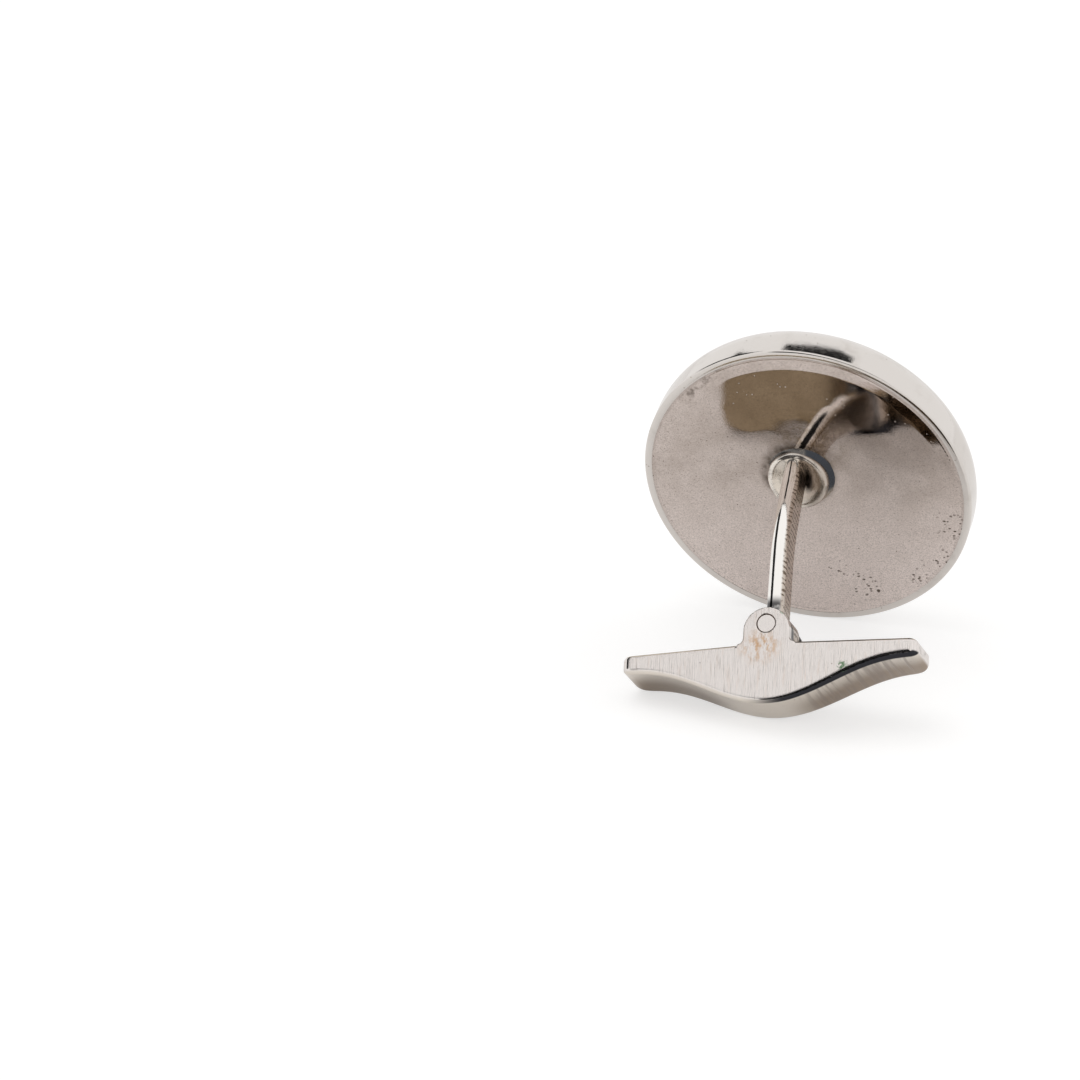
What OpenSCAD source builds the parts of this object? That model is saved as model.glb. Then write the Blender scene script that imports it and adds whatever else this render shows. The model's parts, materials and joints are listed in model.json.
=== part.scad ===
// Cufflink: a round hollow head, a curved post soldered to its back and a swivelling toggle bar.
// The pieces are modelled in the head's own frame. There the middle of the back edge is the
// origin, +Z points from the back towards the toggle and +X runs along the toggle. at_rest()
// then lays the whole cufflink down as it lies on a table, on its rim, its keel and one tip.

/* [Head] */
// Diameter of the head across its back edge
head_d = 20; // [17:0.5:24]
// Height of the straight part of the side wall
wall_h = 1.3; // [1.1:0.1:2.5]
// Radius of the roll from the side wall into the front
roll_r = 2.3; // [1.5:0.1:3.2]
// Radius of the shallow dome on the front
dome_r = 50; // [30:1:80]
// Thickness of the front shell
shell_t = 0.8; // [0.7:0.05:1.1]
// Width of the rim round the back plate
rim_w = 0.45; // [0.3:0.05:0.6]
// Round on the outer edge of the rim
rim_round = 0.14; // [0.08:0.01:0.2]

/* [Back plate] */
// Thickness of the back plate at its edge
plate_t = 0.95; // [0.8:0.05:1.2]
// How far the back plate lies below the rim
plate_drop = 0.06; // [0.03:0.01:0.12]
// Radius of the shallow hollow in the back plate
dish_r = 160; // [120:5:300]
// Width of the flat band round the hollow
band_w = 0.9; // [0.5:0.1:1.5]
// Radius of the level spot that the post and its collar stand on
pad_r = 3; // [2.8:0.1:4]
// Leg of the soldered groove between the back plate and the rim
seam_w = 0.14; // [0.08:0.01:0.2]

/* [Post] */
// Place of the post's foot to the side of the head's middle
foot_x = -0.5; // [-0.8:0.1:0.8]
// Place of the post's foot above the head's middle
foot_y = 0.6; // [-1:0.05:1]
// Width of the post along the toggle
post_w = 1.06; // [0.9:0.02:1.3]
// Depth of the post, and thickness of its eye, along the hinge pin
post_depth = 1.9; // [1.5:0.05:2]
// Round on the two edges of the post's outer side, which is half round
post_round = 0.53; // [0.2:0.01:0.6]
// Round on the two edges of its hollow side
post_edge_round = 0.12; // [0.05:0.01:0.3]
// How far the post sits behind the toggle's middle, along the hinge pin
post_back = 0.3; // [0:0.05:0.4]
// Height of the straight foot, from the rim's plane
foot_h = 1.65; // [1.2:0.05:3]
// Radius of the post's bend
bend_r = 9.4; // [7:0.1:12]
// Angle through which the post bends
lean = 31.5; // [20:0.5:38]
// Length of the straight part from the bend to the middle of the eye
neck_l = 4.4; // [3.5:0.1:6]
// Radius of the eye
eye_r = 1.15; // [1:0.05:1.4]
// Diameter of the spigot under the post's foot
spigot_d = 1; // [0.8:0.05:1.2]
// Gap between the collar's foot and the post's corners
collar_gap = 0.14; // [0.12:0.01:0.2]
// Thickness of the collar's wall, round at its top
collar_t = 0.56; // [0.4:0.02:0.7]
// Height of the collar above the back plate
collar_h = 0.78; // [0.6:0.02:1]
// Angle at which the collar sits, higher on the side that the post bends to
collar_tilt = 12; // [0:1:12]
// How far the collar sits to the side of the post's middle
collar_side = 0.1; // [0:0.01:0.15]
// How far the collar sits below the post's middle
collar_low = 0.1; // [0.05:0.01:0.15]
// Reach of the solder outside the collar
solder_w = 0.2; // [0.15:0.01:0.4]

/* [Toggle] */
// Half of the toggle's length
toggle_half = 9; // [7.5:0.05:10]
// How far the toggle's middle lies to the side of the hinge pin
toggle_side = 0.2; // [-0.5:0.05:0.5]
// Depth of the toggle along the hinge pin
toggle_depth = 3.6; // [3.2:0.05:4.5]
// Distance from the hinge pin down to the toggle's upper edge, at the middle
top_mid = 1.15; // [1:0.05:1.4]
// Distance from the hinge pin down to the toggle's upper edge, at the tips
top_tip = 1.45; // [1.2:0.05:1.7]
// Distance from the hinge pin down to the keel
keel = 4.9; // [4:0.05:6]
// Distance from the hinge pin down to the underside at the tips
under_tip = 2.55; // [2.4:0.05:2.8]
// How fast the keel draws in towards the tips
keel_power = 1.3; // [1:0.05:1.6]
// Round at the toggle's tips in front
tip_round = 0.55; // [0.3:0.05:0.65]
// Round at the toggle's tips at the back
tip_back_round = 1.1; // [0.5:0.05:1.3]
// Round on the upper long edges
upper_round = 0.26; // [0.1:0.02:0.4]
// Round on the lower long edge in front
lower_round = 0.3; // [0.2:0.05:0.5]
// Round on the lower long edge at the back, at the tips
far_round = 0.45; // [0.3:0.05:0.6]
// Round on the same edge at the middle of the keel, where it is worn
keel_round = 0.9; // [0.6:0.1:1.3]
// Radius of the front ear's round top
ear_r = 1.4; // [1.2:0.05:1.6]
// Radius of the far ear's round top
far_ear_r = 1.25; // [1.1:0.05:1.4]
// How far the middle of both radii lies below the hinge pin
ear_drop = 0.4; // [0.2:0.05:0.5]
// Hollow blend from each ear into the upper edge
ear_blend = 0.35; // [0.2:0.05:0.5]
// Angle at which the toggle lies, turned on its pin from square
toggle_turn = 3.7; // [-8:0.1:8]
// Diameter of the hinge pin
pin_d = 1.1; // [0.9:0.05:1.2]

/* [Fits] */
// Gap on each side of the eye in its fork
eye_side_gap = 0.05; // [0.03:0.01:0.1]
// Gap between the eye's rim and the bottom of the slot
eye_end_gap = 0.12; // [0.08:0.02:0.2]
// Gap round the hinge pin in the eye
pin_run_gap = 0.04; // [0.02:0.01:0.08]
// Gap that the solder or the peening closes, round a piece that is fixed
fixed_gap = 0.015; // [0.01:0.005:0.03]

/* [Hidden] */

$fn = 96;
round_steps = 5;                   // faces in each quarter round of a drawn section
overrun = 1;                       // how far a cut runs past what it cuts
weld = 0.001;                      // how far the post's lengths run into each other
fine = 1440;                       // sides of a circle of which a short arc is used
solder_share = 0.5;                // height of the solder as a share of the collar's
silver = [0.76, 0.74, 0.71];
dull_silver = [0.66, 0.63, 0.60];
solder_grey = [0.80, 0.77, 0.68];

head_r = head_d / 2;
// Middle of the dome's radius, so that the dome runs smoothly into the roll
dome_z = -wall_h + sqrt(pow(dome_r - roll_r, 2) - pow(head_r - roll_r, 2));
head_h = dome_r - dome_z;
seat_r = head_r - rim_w;
plate_r = seat_r - fixed_gap;
band_in = plate_r - band_w;
// Lowest level of the hollow, on which the post's foot stands
pad_z = -plate_drop - (pow(band_in, 2) - pow(pad_r, 2)) / (2 * dish_r);
plate_under = -plate_drop - plate_t;

// Middle of the eye, at the end of the bent post, and of the hinge pin that it turns on
eye_at = [0, foot_y - bend_r * (1 - cos(lean)) - neck_l * sin(lean),
    foot_h + bend_r * sin(lean) + neck_l * cos(lean)];
pin_at = eye_at + post_back * [0, cos(lean), sin(lean)];
side_lean = atan2(-foot_x, pin_at.z);
fork_gap = post_depth + 2 * eye_side_gap;
slot_r = eye_r + eye_end_gap;
flank_l = toggle_half - max(tip_round, tip_back_round); // up to where a tip starts to round
post_edge = min(post_round, post_w / 2 - fixed_gap);
collar_at = [foot_x + collar_side, foot_y - collar_low, pad_z];
collar_r = norm([post_w / 2 + collar_side, post_depth / 2]) + collar_gap + collar_t / 2;
collar_out = collar_r + collar_t / 2;

// The cufflink's contacts with the table, in the head's frame
corner_share = 1 - sqrt(0.5);      // how far the middle of a rounded edge lies inside its corner
keel_share = 0.18;                 // how far along the toggle its keel touches
tip_lean = 15.5;                   // how far round a tip it touches
flat_share = 0.6;                  // how much less a tip rounds up its face than along the pin
keel_x = keel_share * toggle_half;
keel_contact = from_pin([toggle_side - keel_x, -under_at(keel_x) + corner_share * far_round_at(keel_x),
    -toggle_depth / 2 + corner_share * far_round_at(keel_x)]);
tip_x = toggle_half - tip_back_round * (1 - sin(tip_lean));
tip_contact = from_pin([toggle_side - tip_x, -under_at(tip_x) + corner_share * far_round,
    -toggle_depth / 2 + corner_share * far_round + draw_in(tip_x, tip_back_round)]);
rim_level = -rim_round;
// Where the line through both contacts of the toggle meets the rim's plane
meet_share = (rim_level - keel_contact.z) / (tip_contact.z - keel_contact.z);
meet = keel_contact + meet_share * (tip_contact - keel_contact);
// The table touches the rim where a line from there is tangent to it
meet_r = norm([meet.x, meet.y]);
rim_angle = atan2(meet.y, meet.x) + acos(head_r / meet_r);
rim_contact = [head_r * cos(rim_angle), head_r * sin(rim_angle), rim_level];
up = unit(cross(tip_contact - rim_contact, keel_contact - rim_contact));
along = unit([1, 0, 0] - up.x * up);
away = cross(up, along);
// Place of the footprint's middle, seen from the middle of the back edge
footprint = [0.138, -4.3];

function unit(v) = v / norm(v);
// A point given along the toggle, up its face and along its pin, in the head's frame
function from_pin(p) =
    let (x = p.x * cos(toggle_turn) - p.y * sin(toggle_turn),
        y = p.x * sin(toggle_turn) + p.y * cos(toggle_turn))
    pin_at + [x, y * sin(lean) + p.z * cos(lean), -y * cos(lean) + p.z * sin(lean)];

// Points of a quarter round of radius r about c, from the angle a on
function quarter(c, r, a) = [for (i = [0:round_steps])
    c + r * [cos(a + 90 * i / round_steps), sin(a + 90 * i / round_steps)]];

// Lays the head's frame down as the cufflink rests on the table
module at_rest() {
    translate([-footprint.x, -footprint.y, -rim_contact * up])
        multmatrix([
            [along.x, along.y, along.z, 0],
            [away.x, away.y, away.z, 0],
            [up.x, up.y, up.z, 0],
            [0, 0, 0, 1]])
            children();
}

// Half section of the head, inset by a wall
module head_section(inset) {
    r = head_r - inset;
    roll = roll_r - inset;
    dome = dome_r - inset;
    blend_x = (head_r - roll_r) * dome / (dome_r - roll_r);
    intersection() {
        union() {
            translate([0, -wall_h])
                square([r, wall_h]);
            translate([0, -head_h])
                square([blend_x, head_h]);
            translate([r - roll, -wall_h])
                circle(roll);
        }
        translate([0, dome_z])
            circle(dome, $fn = fine);
        translate([0, -head_h])
            square([r, head_h]);
    }
}

// Outer corner of the rim, rounded
module rim_corner_cut() {
    translate([head_r - rim_round, -rim_round])
        difference() {
            square(rim_round + overrun);
            circle(rim_round);
        }
}

// Hollow front shell with the rim that holds the back plate
module front_dome() {
    color(silver)
        rotate_extrude()
            difference() {
                head_section(0);
                rim_corner_cut();
                translate([0, plate_under])
                    square([seat_r, overrun - plate_under]);
                intersection() {
                    head_section(shell_t);
                    translate([0, -head_h])
                        square([head_r, head_h]);
                }
            }
}

// Back plate, level under the post and round its edge, and hollow in between
module back_plate() {
    color(dull_silver)
        difference() {
            rotate_extrude()
                difference() {
                    translate([0, plate_under])
                        square([plate_r, plate_t]);
                    intersection() {
                        translate([0, -plate_drop - pow(band_in, 2) / (2 * dish_r) + dish_r])
                            circle(dish_r, $fn = fine);
                        translate([0, pad_z])
                            square([head_r, overrun]);
                    }
                    translate([plate_r, -plate_drop])
                        polygon([[-seam_w, 0], [overrun, seam_w + overrun], [0, -seam_w]]);
                }
            translate([foot_x, foot_y, plate_under - overrun])
                cylinder(d = spigot_d + 2 * fixed_gap, h = plate_t + 2 * overrun);
        }
}

// Solder that fills the groove between the back plate and the rim
module rim_solder() {
    color(solder_grey)
        rotate_extrude()
            translate([plate_r, -plate_drop])
                polygon([[-seam_w + fixed_gap, 0], [0, 0], [0, -seam_w + fixed_gap]]);
}

// Half section of the collar: an upright wall with a round top
module collar_section() {
    half = collar_t / 2;
    crown = [collar_r, collar_h - half];
    polygon(concat(
        [[collar_r + half, -collar_h]],
        quarter(crown, half, 0),
        quarter(crown, half, 90),
        [[collar_r - half, -collar_h]]));
}

// Frame of the collar, in the middle of its foot
module at_collar(tilt = 0) {
    translate(collar_at)
        rotate([-tilt, 0, 0])
            children();
}

// Collar round the post's foot, standing on the back plate
module foot_collar() {
    color(silver)
        intersection() {
            at_collar(collar_tilt)
                rotate_extrude()
                    collar_section();
            at_collar()
                cylinder(r = collar_out + overrun, h = collar_h + overrun);
        }
}

// Solder that has run out round the collar
module foot_solder() {
    color(solder_grey)
        difference() {
            at_collar()
                cylinder(r1 = collar_out + solder_w, r2 = collar_out - solder_w / 2,
                    h = solder_share * collar_h);
            at_collar(collar_tilt)
                cylinder(r = collar_out + fixed_gap, h = 2 * collar_h, center = true);
        }
}

// Section of the post: its width lies along X, and its half-round side faces +Y
module post_section() {
    x = post_w / 2;
    y = post_depth / 2;
    polygon(concat(
        quarter([x - post_edge, y - post_edge], post_edge, 0),
        quarter([post_edge - x, y - post_edge], post_edge, 90),
        quarter([post_edge_round - x, post_edge_round - y], post_edge_round, 180),
        quarter([x - post_edge_round, post_edge_round - y], post_edge_round, 270)));
}

// Straight foot, bend and straight neck, up to the middle of the eye
module post_blade() {
    translate([0, foot_y, plate_under])
        linear_extrude(foot_h + weld - plate_under)
            post_section();
    translate([0, foot_y - bend_r, foot_h]) {
        rotate([90, 0, 90])
            rotate_extrude(angle = lean)
                translate([bend_r, 0])
                    rotate(-90)
                        post_section();
        rotate([lean, 0, 0])
            translate([0, bend_r, -weld])
                linear_extrude(neck_l + weld)
                    post_section();
    }
}

// Frame of the hinge: +Z along the pin, +Y up the toggle's face towards the head
module at_pin(turn = 0) {
    translate(pin_at)
        rotate([lean - 90, 0, 0])
            rotate(turn)
                children();
}

// Curved post with its spigot and the eye of the hinge
module post() {
    color(silver)
        difference() {
            union() {
                intersection() {
                    translate(pin_at)
                        rotate([0, side_lean, 0])
                            translate(-pin_at)
                                post_blade();
                    translate([-head_r, -head_r, pad_z])
                        cube([head_d, head_d, pin_at.z + head_r]);
                }
                translate([foot_x, foot_y, plate_under])
                    cylinder(d = spigot_d, h = foot_h - plate_under);
                at_pin()
                    translate([0, 0, -post_back])
                        cylinder(r = eye_r, h = post_depth, center = true);
            }
            at_pin()
                cylinder(d = pin_d + 2 * pin_run_gap, h = toggle_depth + 2 * overrun, center = true);
        }
}

// Share of the way down from the tips' underside to the keel, at a distance from the middle
function swell_share(x) = pow((1 + cos(180 * min(1, abs(x) / toggle_half))) / 2, keel_power);
function under_at(x) = under_tip + (keel - under_tip) * swell_share(x);
function far_round_at(x) = far_round + (keel_round - far_round) * pow(swell_share(x), 2);
function top_at(x) = top_mid + (top_tip - top_mid) * abs(x) / toggle_half;
// How far a round of radius r at the tips draws the bar in at x
function draw_in(x, r) =
    let (past = min(r, max(0, abs(x) - toggle_half + r)))
    r - sqrt(r * r - past * past);
// Rounded section of the bar at x: up the face and along the pin
function bar_section(x) =
    let (front = draw_in(x, tip_round),
        flat = flat_share * front,
        y1 = -top_at(x) - flat,
        y0 = -under_at(x) + flat,
        z1 = toggle_depth / 2 - front,
        z0 = -toggle_depth / 2 + draw_in(x, tip_back_round),
        rt = max(upper_round - flat, fixed_gap),
        rf = max(lower_round - flat, fixed_gap),
        rb = max(far_round_at(x) - flat, fixed_gap))
    concat(
        quarter([y1 - rt, z1 - rt], rt, 0),
        quarter([y0 + rf, z1 - rf], rf, 90),
        quarter([y0 + rb, z0 + rb], rb, 180),
        quarter([y1 - rt, z0 + rt], rt, 270));
flank_steps = 24;
tip_steps = 7;
// Stations along the bar, closer together round the tips
tip_stations = [for (i = [1:tip_steps]) flank_l + (toggle_half - flank_l) * sin(90 * i / tip_steps)];
stations = concat(
    [for (i = [tip_steps - 1:-1:0]) -tip_stations[i]],
    [for (i = [0:flank_steps]) flank_l * (2 * i / flank_steps - 1)],
    tip_stations);

// Solid bar of the toggle, from one section to the next
module bar_body() {
    rings = [for (x = stations) [for (p = bar_section(x)) [toggle_side + x, p.x, p.y]]];
    n = len(rings[0]);
    m = len(rings);
    points = [for (ring = rings) each ring];
    sides = [for (i = [0:m - 2], j = [0:n - 1]) let (k = (j + 1) % n)
        each [[i * n + j, (i + 1) * n + k, i * n + k], [i * n + j, (i + 1) * n + j, (i + 1) * n + k]]];
    ends = [[for (j = [0:n - 1]) j], [for (j = [n - 1:-1:0]) (m - 1) * n + j]];
    polyhedron(points, concat(sides, ends), convexity = 4);
}

// Face of one ear with a round top of radius r, with its hollow blends into the upper edge
module ear_face(r) {
    base = -top_at(r + ear_blend);
    root = -top_mid - 2 * upper_round - ear_blend;
    translate([0, -ear_drop])
        circle(r);
    translate([-r, root])
        square([2 * r, -ear_drop - root]);
    for (side = [-1, 1])
        difference() {
            translate([side * (r + ear_blend / 2), (base + root) / 2 + ear_blend / 2])
                square([ear_blend + fixed_gap, base - root + ear_blend], center = true);
            translate([side * (r + ear_blend), base + ear_blend])
                circle(ear_blend);
        }
}

// Toggle bar with the forked ears that hold the pin
module toggle_bar() {
    fork_far = -post_back - fork_gap / 2;
    fork_near = fork_far + fork_gap;
    color(silver)
        at_pin(toggle_turn)
            difference() {
                union() {
                    bar_body();
                    translate([0, 0, fork_near])
                        linear_extrude(toggle_depth / 2 - fork_near)
                            ear_face(ear_r);
                    translate([0, 0, -toggle_depth / 2])
                        linear_extrude(toggle_depth / 2 + fork_far)
                            ear_face(far_ear_r);
                }
                translate([0, 0, fork_far])
                    cylinder(r = slot_r, h = fork_gap);
                cylinder(d = pin_d + 2 * fixed_gap, h = toggle_depth + 2 * overrun, center = true);
            }
}

// Rivet that the toggle swivels on, filed flush with both ears
module hinge_pin() {
    color(silver)
        at_pin(toggle_turn)
            cylinder(d = pin_d, h = toggle_depth, center = true);
}

at_rest() front_dome();
at_rest() back_plate();
at_rest() rim_solder();
at_rest() foot_collar();
at_rest() foot_solder();
at_rest() post();
at_rest() toggle_bar();
at_rest() hinge_pin();
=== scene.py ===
"""Looks of a silver cufflink: hollow head, curved post and swivelling toggle bar."""

import json
import logging
import math
from collections.abc import Callable, Iterable
from dataclasses import dataclass
from enum import Enum

import bmesh
import bpy
import numpy as np
from mathutils import Euler, Matrix, Vector


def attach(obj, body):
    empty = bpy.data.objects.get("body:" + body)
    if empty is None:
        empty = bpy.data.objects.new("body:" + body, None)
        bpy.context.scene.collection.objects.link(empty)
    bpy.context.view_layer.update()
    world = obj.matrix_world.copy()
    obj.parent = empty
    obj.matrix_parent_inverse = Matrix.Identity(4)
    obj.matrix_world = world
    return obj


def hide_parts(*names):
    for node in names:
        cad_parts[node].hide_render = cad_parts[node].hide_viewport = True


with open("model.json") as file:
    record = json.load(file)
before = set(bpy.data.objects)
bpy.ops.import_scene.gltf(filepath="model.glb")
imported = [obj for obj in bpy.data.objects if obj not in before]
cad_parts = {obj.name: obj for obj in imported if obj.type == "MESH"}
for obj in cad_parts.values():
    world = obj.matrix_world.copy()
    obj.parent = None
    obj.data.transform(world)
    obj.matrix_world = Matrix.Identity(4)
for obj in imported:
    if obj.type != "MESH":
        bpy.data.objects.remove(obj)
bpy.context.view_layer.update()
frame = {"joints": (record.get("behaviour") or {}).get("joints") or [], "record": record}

MM = 0.001
QUARTER = math.pi / 2
X_WAY, Y_WAY, Z_WAY = (1, 0, 0), (0, 1, 0), (0, 0, 1)
MIX_A, MIX_B, MIX_OUT = 6, 7, 2  # the colour sockets of a Mix node
LOG = logging.getLogger("cufflink")
Colour = tuple[float, float, float]
Point = tuple[float, float, float]
Span = tuple[float, float]
Outline = list[tuple[float, float]]
Socket = bpy.types.NodeSocket


class Body(str, Enum):
    """The two bodies that the pieces ride on."""

    HEAD = "head"
    TOGGLE = "toggle"


class Slot(str, Enum):
    """Material slots of the record."""

    POLISHED = "polished_silver"
    BACK = "back_silver"
    SOLDER = "solder"
    POST = "post_silver"
    BRUSHED = "brushed_silver"
    PIN = "pin_silver"


class Shaping(str, Enum):
    """What another solid does to a piece."""

    JOIN = "UNION"
    CUT = "DIFFERENCE"


class Fill(str, Enum):
    """What fills a traced outline."""

    NOTHING = "NOTHING"
    FACE = "NGON"


@dataclass(frozen=True)
class Placement:
    """A frame in which a sub-assembly is modelled, in millimetres."""

    origin: Vector
    x: Vector
    y: Vector
    z: Vector

    def turn(self) -> Matrix:
        """Returns the turn from this frame to the row frame."""
        return Matrix((self.x, self.y, self.z)).transposed()

    def matrix(self) -> Matrix:
        """Returns the matrix from this frame, in millimetres, to the row frame, in metres."""
        return Matrix.Translation(self.origin) @ self.turn().to_4x4() @ Matrix.Scale(MM, 4)

    def euler(self) -> Euler:
        """Returns the turn as a Mapping node takes it."""
        return self.turn().to_euler()


def head_placement() -> Placement:
    """Finds the head's frame from the record's mount and hinge.

    Returns:
        The frame with its origin in the middle of the back edge, +Z from the back towards
        the toggle and +Y up the back plate.
    """
    band = next(m for m in frame["record"]["mounts"] if m["name"] == "cuff_band")
    z = Vector(band["axis"]).normalized()
    pin_axis = Vector(frame["joints"][0]["axis"]).normalized()
    y = (pin_axis - pin_axis.dot(z) * z).normalized()
    origin = Vector(band["pos_m"]) - Head.band_y * MM * y + Head.plate_drop * MM * z
    return Placement(origin, y.cross(z), y, z)


def hinge_placement(turned: bool) -> Placement:
    """Finds the hinge's frame from the record's joint.

    Args:
        turned: Whether +X runs along the toggle as it lies, or square to the head.

    Returns:
        The frame with its origin in the middle of the pin, +Z along the pin and +Y up the
        toggle's face, towards the head.
    """
    joint = frame["joints"][0]
    z = Vector(joint["axis"]).normalized()
    x = head_placement().x
    turn = math.radians(-sum(joint["range_deg"]) / 2) if turned else 0.0
    along = math.cos(turn) * x + math.sin(turn) * z.cross(x)
    return Placement(Vector(joint["pos_m"]), along, z.cross(along), z)


def arc(middle: tuple[float, float], radius: float, start: float, end: float, steps: int) -> Outline:
    """Draws an arc as points.

    Args:
        middle: Middle of the arc.
        radius: Radius of the arc.
        start: Angle of the first point, in degrees.
        end: Angle of the last point, in degrees.
        steps: Number of straight lines that the arc is made of.

    Returns:
        The points from the first to the last.
    """
    angles = [math.radians(start + (end - start) * i / steps) for i in range(steps + 1)]
    return [(middle[0] + radius * math.cos(a), middle[1] + radius * math.sin(a)) for a in angles]


def rounded_box(
    sides: tuple[float, float, float, float], radii: Iterable[float], steps: Iterable[int]
) -> Outline:
    """Draws a box with rounded corners.

    Args:
        sides: Places of its right, upper, left and lower side.
        radii: Radius of each corner, anticlockwise from the upper right one.
        steps: Number of straight lines at each corner, in the same order.

    Returns:
        The points, anticlockwise.
    """
    right, top, left, low = sides
    corners = ((right, top, -1, -1), (left, top, 1, -1), (left, low, 1, 1), (right, low, -1, 1))
    points = []
    for i, ((x, y, x_in, y_in), radius, count) in enumerate(zip(corners, radii, steps)):
        middle = (x + x_in * radius, y + y_in * radius)
        points += arc(middle, radius, 90 * i, 90 * (i + 1), count)
    return points


def ramp(value: np.ndarray | float, start: float, end: float) -> np.ndarray | float:
    """Returns 0 at start and 1 at end, straight between them and kept so beyond them."""
    return np.clip((value - start) / (end - start), 0, 1)


def polar(places: np.ndarray) -> tuple[np.ndarray, np.ndarray]:
    """Returns the angles about the Z axis and the distances from it of places in rows."""
    return np.arctan2(places[:, 1], places[:, 0]), np.hypot(places[:, 0], places[:, 1])


def ripple(angle: np.ndarray, waves: Iterable[Point]) -> np.ndarray:
    """Adds up waves that run round a ring.

    Args:
        angle: Angles round the ring, in radians.
        waves: Each wave's height, its number of crests and its shift in radians.

    Returns:
        The sum at each angle.
    """
    return sum(height * np.sin(crests * angle + shift) for height, crests, shift in waves)


class Bench:
    """The editing tools, used on one mesh at a time in the millimetres of its sub-assembly.

    merge_gap is how close doubles lie, in those millimetres, and sharp_edge is in degrees.
    """

    merge_gap: float = 1e-4
    sharp_edge: float = 40.0

    @staticmethod
    def pick(*pieces: bpy.types.Object) -> None:
        """Selects these objects alone and makes the last one active.

        Args:
            pieces: Objects to select.
        """
        bpy.ops.object.select_all(action="DESELECT")
        for piece in pieces:
            piece.select_set(True)
            bpy.context.view_layer.objects.active = piece

    @staticmethod
    def start(name: str, primitive: Callable[..., object], **settings: object) -> bpy.types.Object:
        """Adds a primitive with nothing else selected.

        Args:
            name: Name of the new piece and of its mesh.
            primitive: Operator that adds it.
            settings: What the operator is given.

        Returns:
            The new piece.
        """
        bpy.ops.object.select_all(action="DESELECT")
        primitive(**settings)
        piece = bpy.context.object
        piece.name = piece.data.name = name
        return piece

    @classmethod
    def trace(cls, name: str, points: list[Point], fill: Fill) -> bpy.types.Object:
        """Starts a piece from an outline and leaves it selected in edit mode.

        Args:
            name: Name of the new piece.
            points: Points of the outline, in order.
            fill: What fills it.

        Returns:
            The new piece.
        """
        settings = {"vertices": len(points), "fill_type": fill.value}
        piece = cls.start(name, bpy.ops.mesh.primitive_circle_add, **settings)
        bpy.ops.object.mode_set(mode="EDIT")
        bpy.ops.mesh.select_all(action="SELECT")
        cls.put(piece, points)
        return piece

    @staticmethod
    def put(piece: bpy.types.Object, points: list[Point]) -> None:
        """Moves the selected vertices, in edit mode.

        Args:
            piece: Piece that is being edited.
            points: New places of the vertices, in their order.
        """
        mesh = bmesh.from_edit_mesh(piece.data)
        for vertex, point in zip((v for v in mesh.verts if v.select), points):
            vertex.co = point
        bmesh.update_edit_mesh(piece.data)

    @staticmethod
    def select(piece: bpy.types.Object, wanted: Callable[[Vector], bool]) -> None:
        """Selects vertices by their places, in edit mode.

        Args:
            piece: Piece that is being edited.
            wanted: Takes a place and tells whether the vertex there is selected.
        """
        bpy.ops.mesh.select_mode(type="VERT")
        mesh = bmesh.from_edit_mesh(piece.data)
        for vertex in mesh.verts:
            vertex.select = wanted(vertex.co)
        mesh.select_flush_mode()
        bmesh.update_edit_mesh(piece.data)

    @classmethod
    def lathe(cls, name: str, outline: Outline, steps: int, closed: bool = True) -> bpy.types.Object:
        """Spins an outline about the frame's Z axis.

        Args:
            name: Name of the new piece.
            outline: Points as distance from the axis and height.
            steps: Number of steps round the axis.
            closed: Whether the outline runs back to its first point.

        Returns:
            The spun piece, with its seam and poles merged.
        """
        piece = cls.trace(name, [(r, 0, z) for r, z in outline], Fill.NOTHING)
        if not closed:
            mesh = bmesh.from_edit_mesh(piece.data)
            mesh.verts.ensure_lookup_table()
            ends = {mesh.verts[0], mesh.verts[-1]}
            mesh.edges.remove(next(e for e in mesh.edges if set(e.verts) == ends))
            bmesh.update_edit_mesh(piece.data)
        bpy.ops.mesh.spin(steps=steps, angle=math.tau, center=(0, 0, 0), axis=Z_WAY)
        cls.close()
        return piece

    @staticmethod
    def close() -> None:
        """Merges doubles, turns all faces outwards and leaves edit mode."""
        bpy.ops.mesh.select_all(action="SELECT")
        bpy.ops.mesh.remove_doubles(threshold=Bench.merge_gap)
        bpy.ops.mesh.normals_make_consistent(inside=False)
        bpy.ops.object.mode_set(mode="OBJECT")

    @classmethod
    def modify(cls, piece: bpy.types.Object, kind: str, **settings: object) -> None:
        """Adds a modifier and applies it.

        Args:
            piece: Piece that is changed.
            kind: Blender's name of the modifier's type.
            settings: Values of the modifier's own properties.
        """
        cls.pick(piece)
        modifier = piece.modifiers.new(kind.lower(), kind)
        for key, value in settings.items():
            setattr(modifier, key, value)
        bpy.ops.object.modifier_apply(modifier=modifier.name)

    @classmethod
    def combine(cls, piece: bpy.types.Object, other: bpy.types.Object, way: Shaping) -> None:
        """Joins another solid to the piece, or cuts the piece with it, and removes the other."""
        cls.modify(piece, "BOOLEAN", operation=way.value, object=other, solver="EXACT")
        bpy.data.objects.remove(other)

    @staticmethod
    def reshape(piece: bpy.types.Object, move: Callable[[np.ndarray], np.ndarray]) -> None:
        """Moves all vertices by a rule.

        Args:
            piece: Piece whose mesh is changed.
            move: Takes the vertices' places as rows and returns the new ones.
        """
        places = np.empty(len(piece.data.vertices) * 3, np.float32)
        piece.data.vertices.foreach_get("co", places)
        moved = move(places.reshape(-1, 3).astype(float))
        piece.data.vertices.foreach_set("co", moved.astype(np.float32).ravel())
        piece.data.update()

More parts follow.
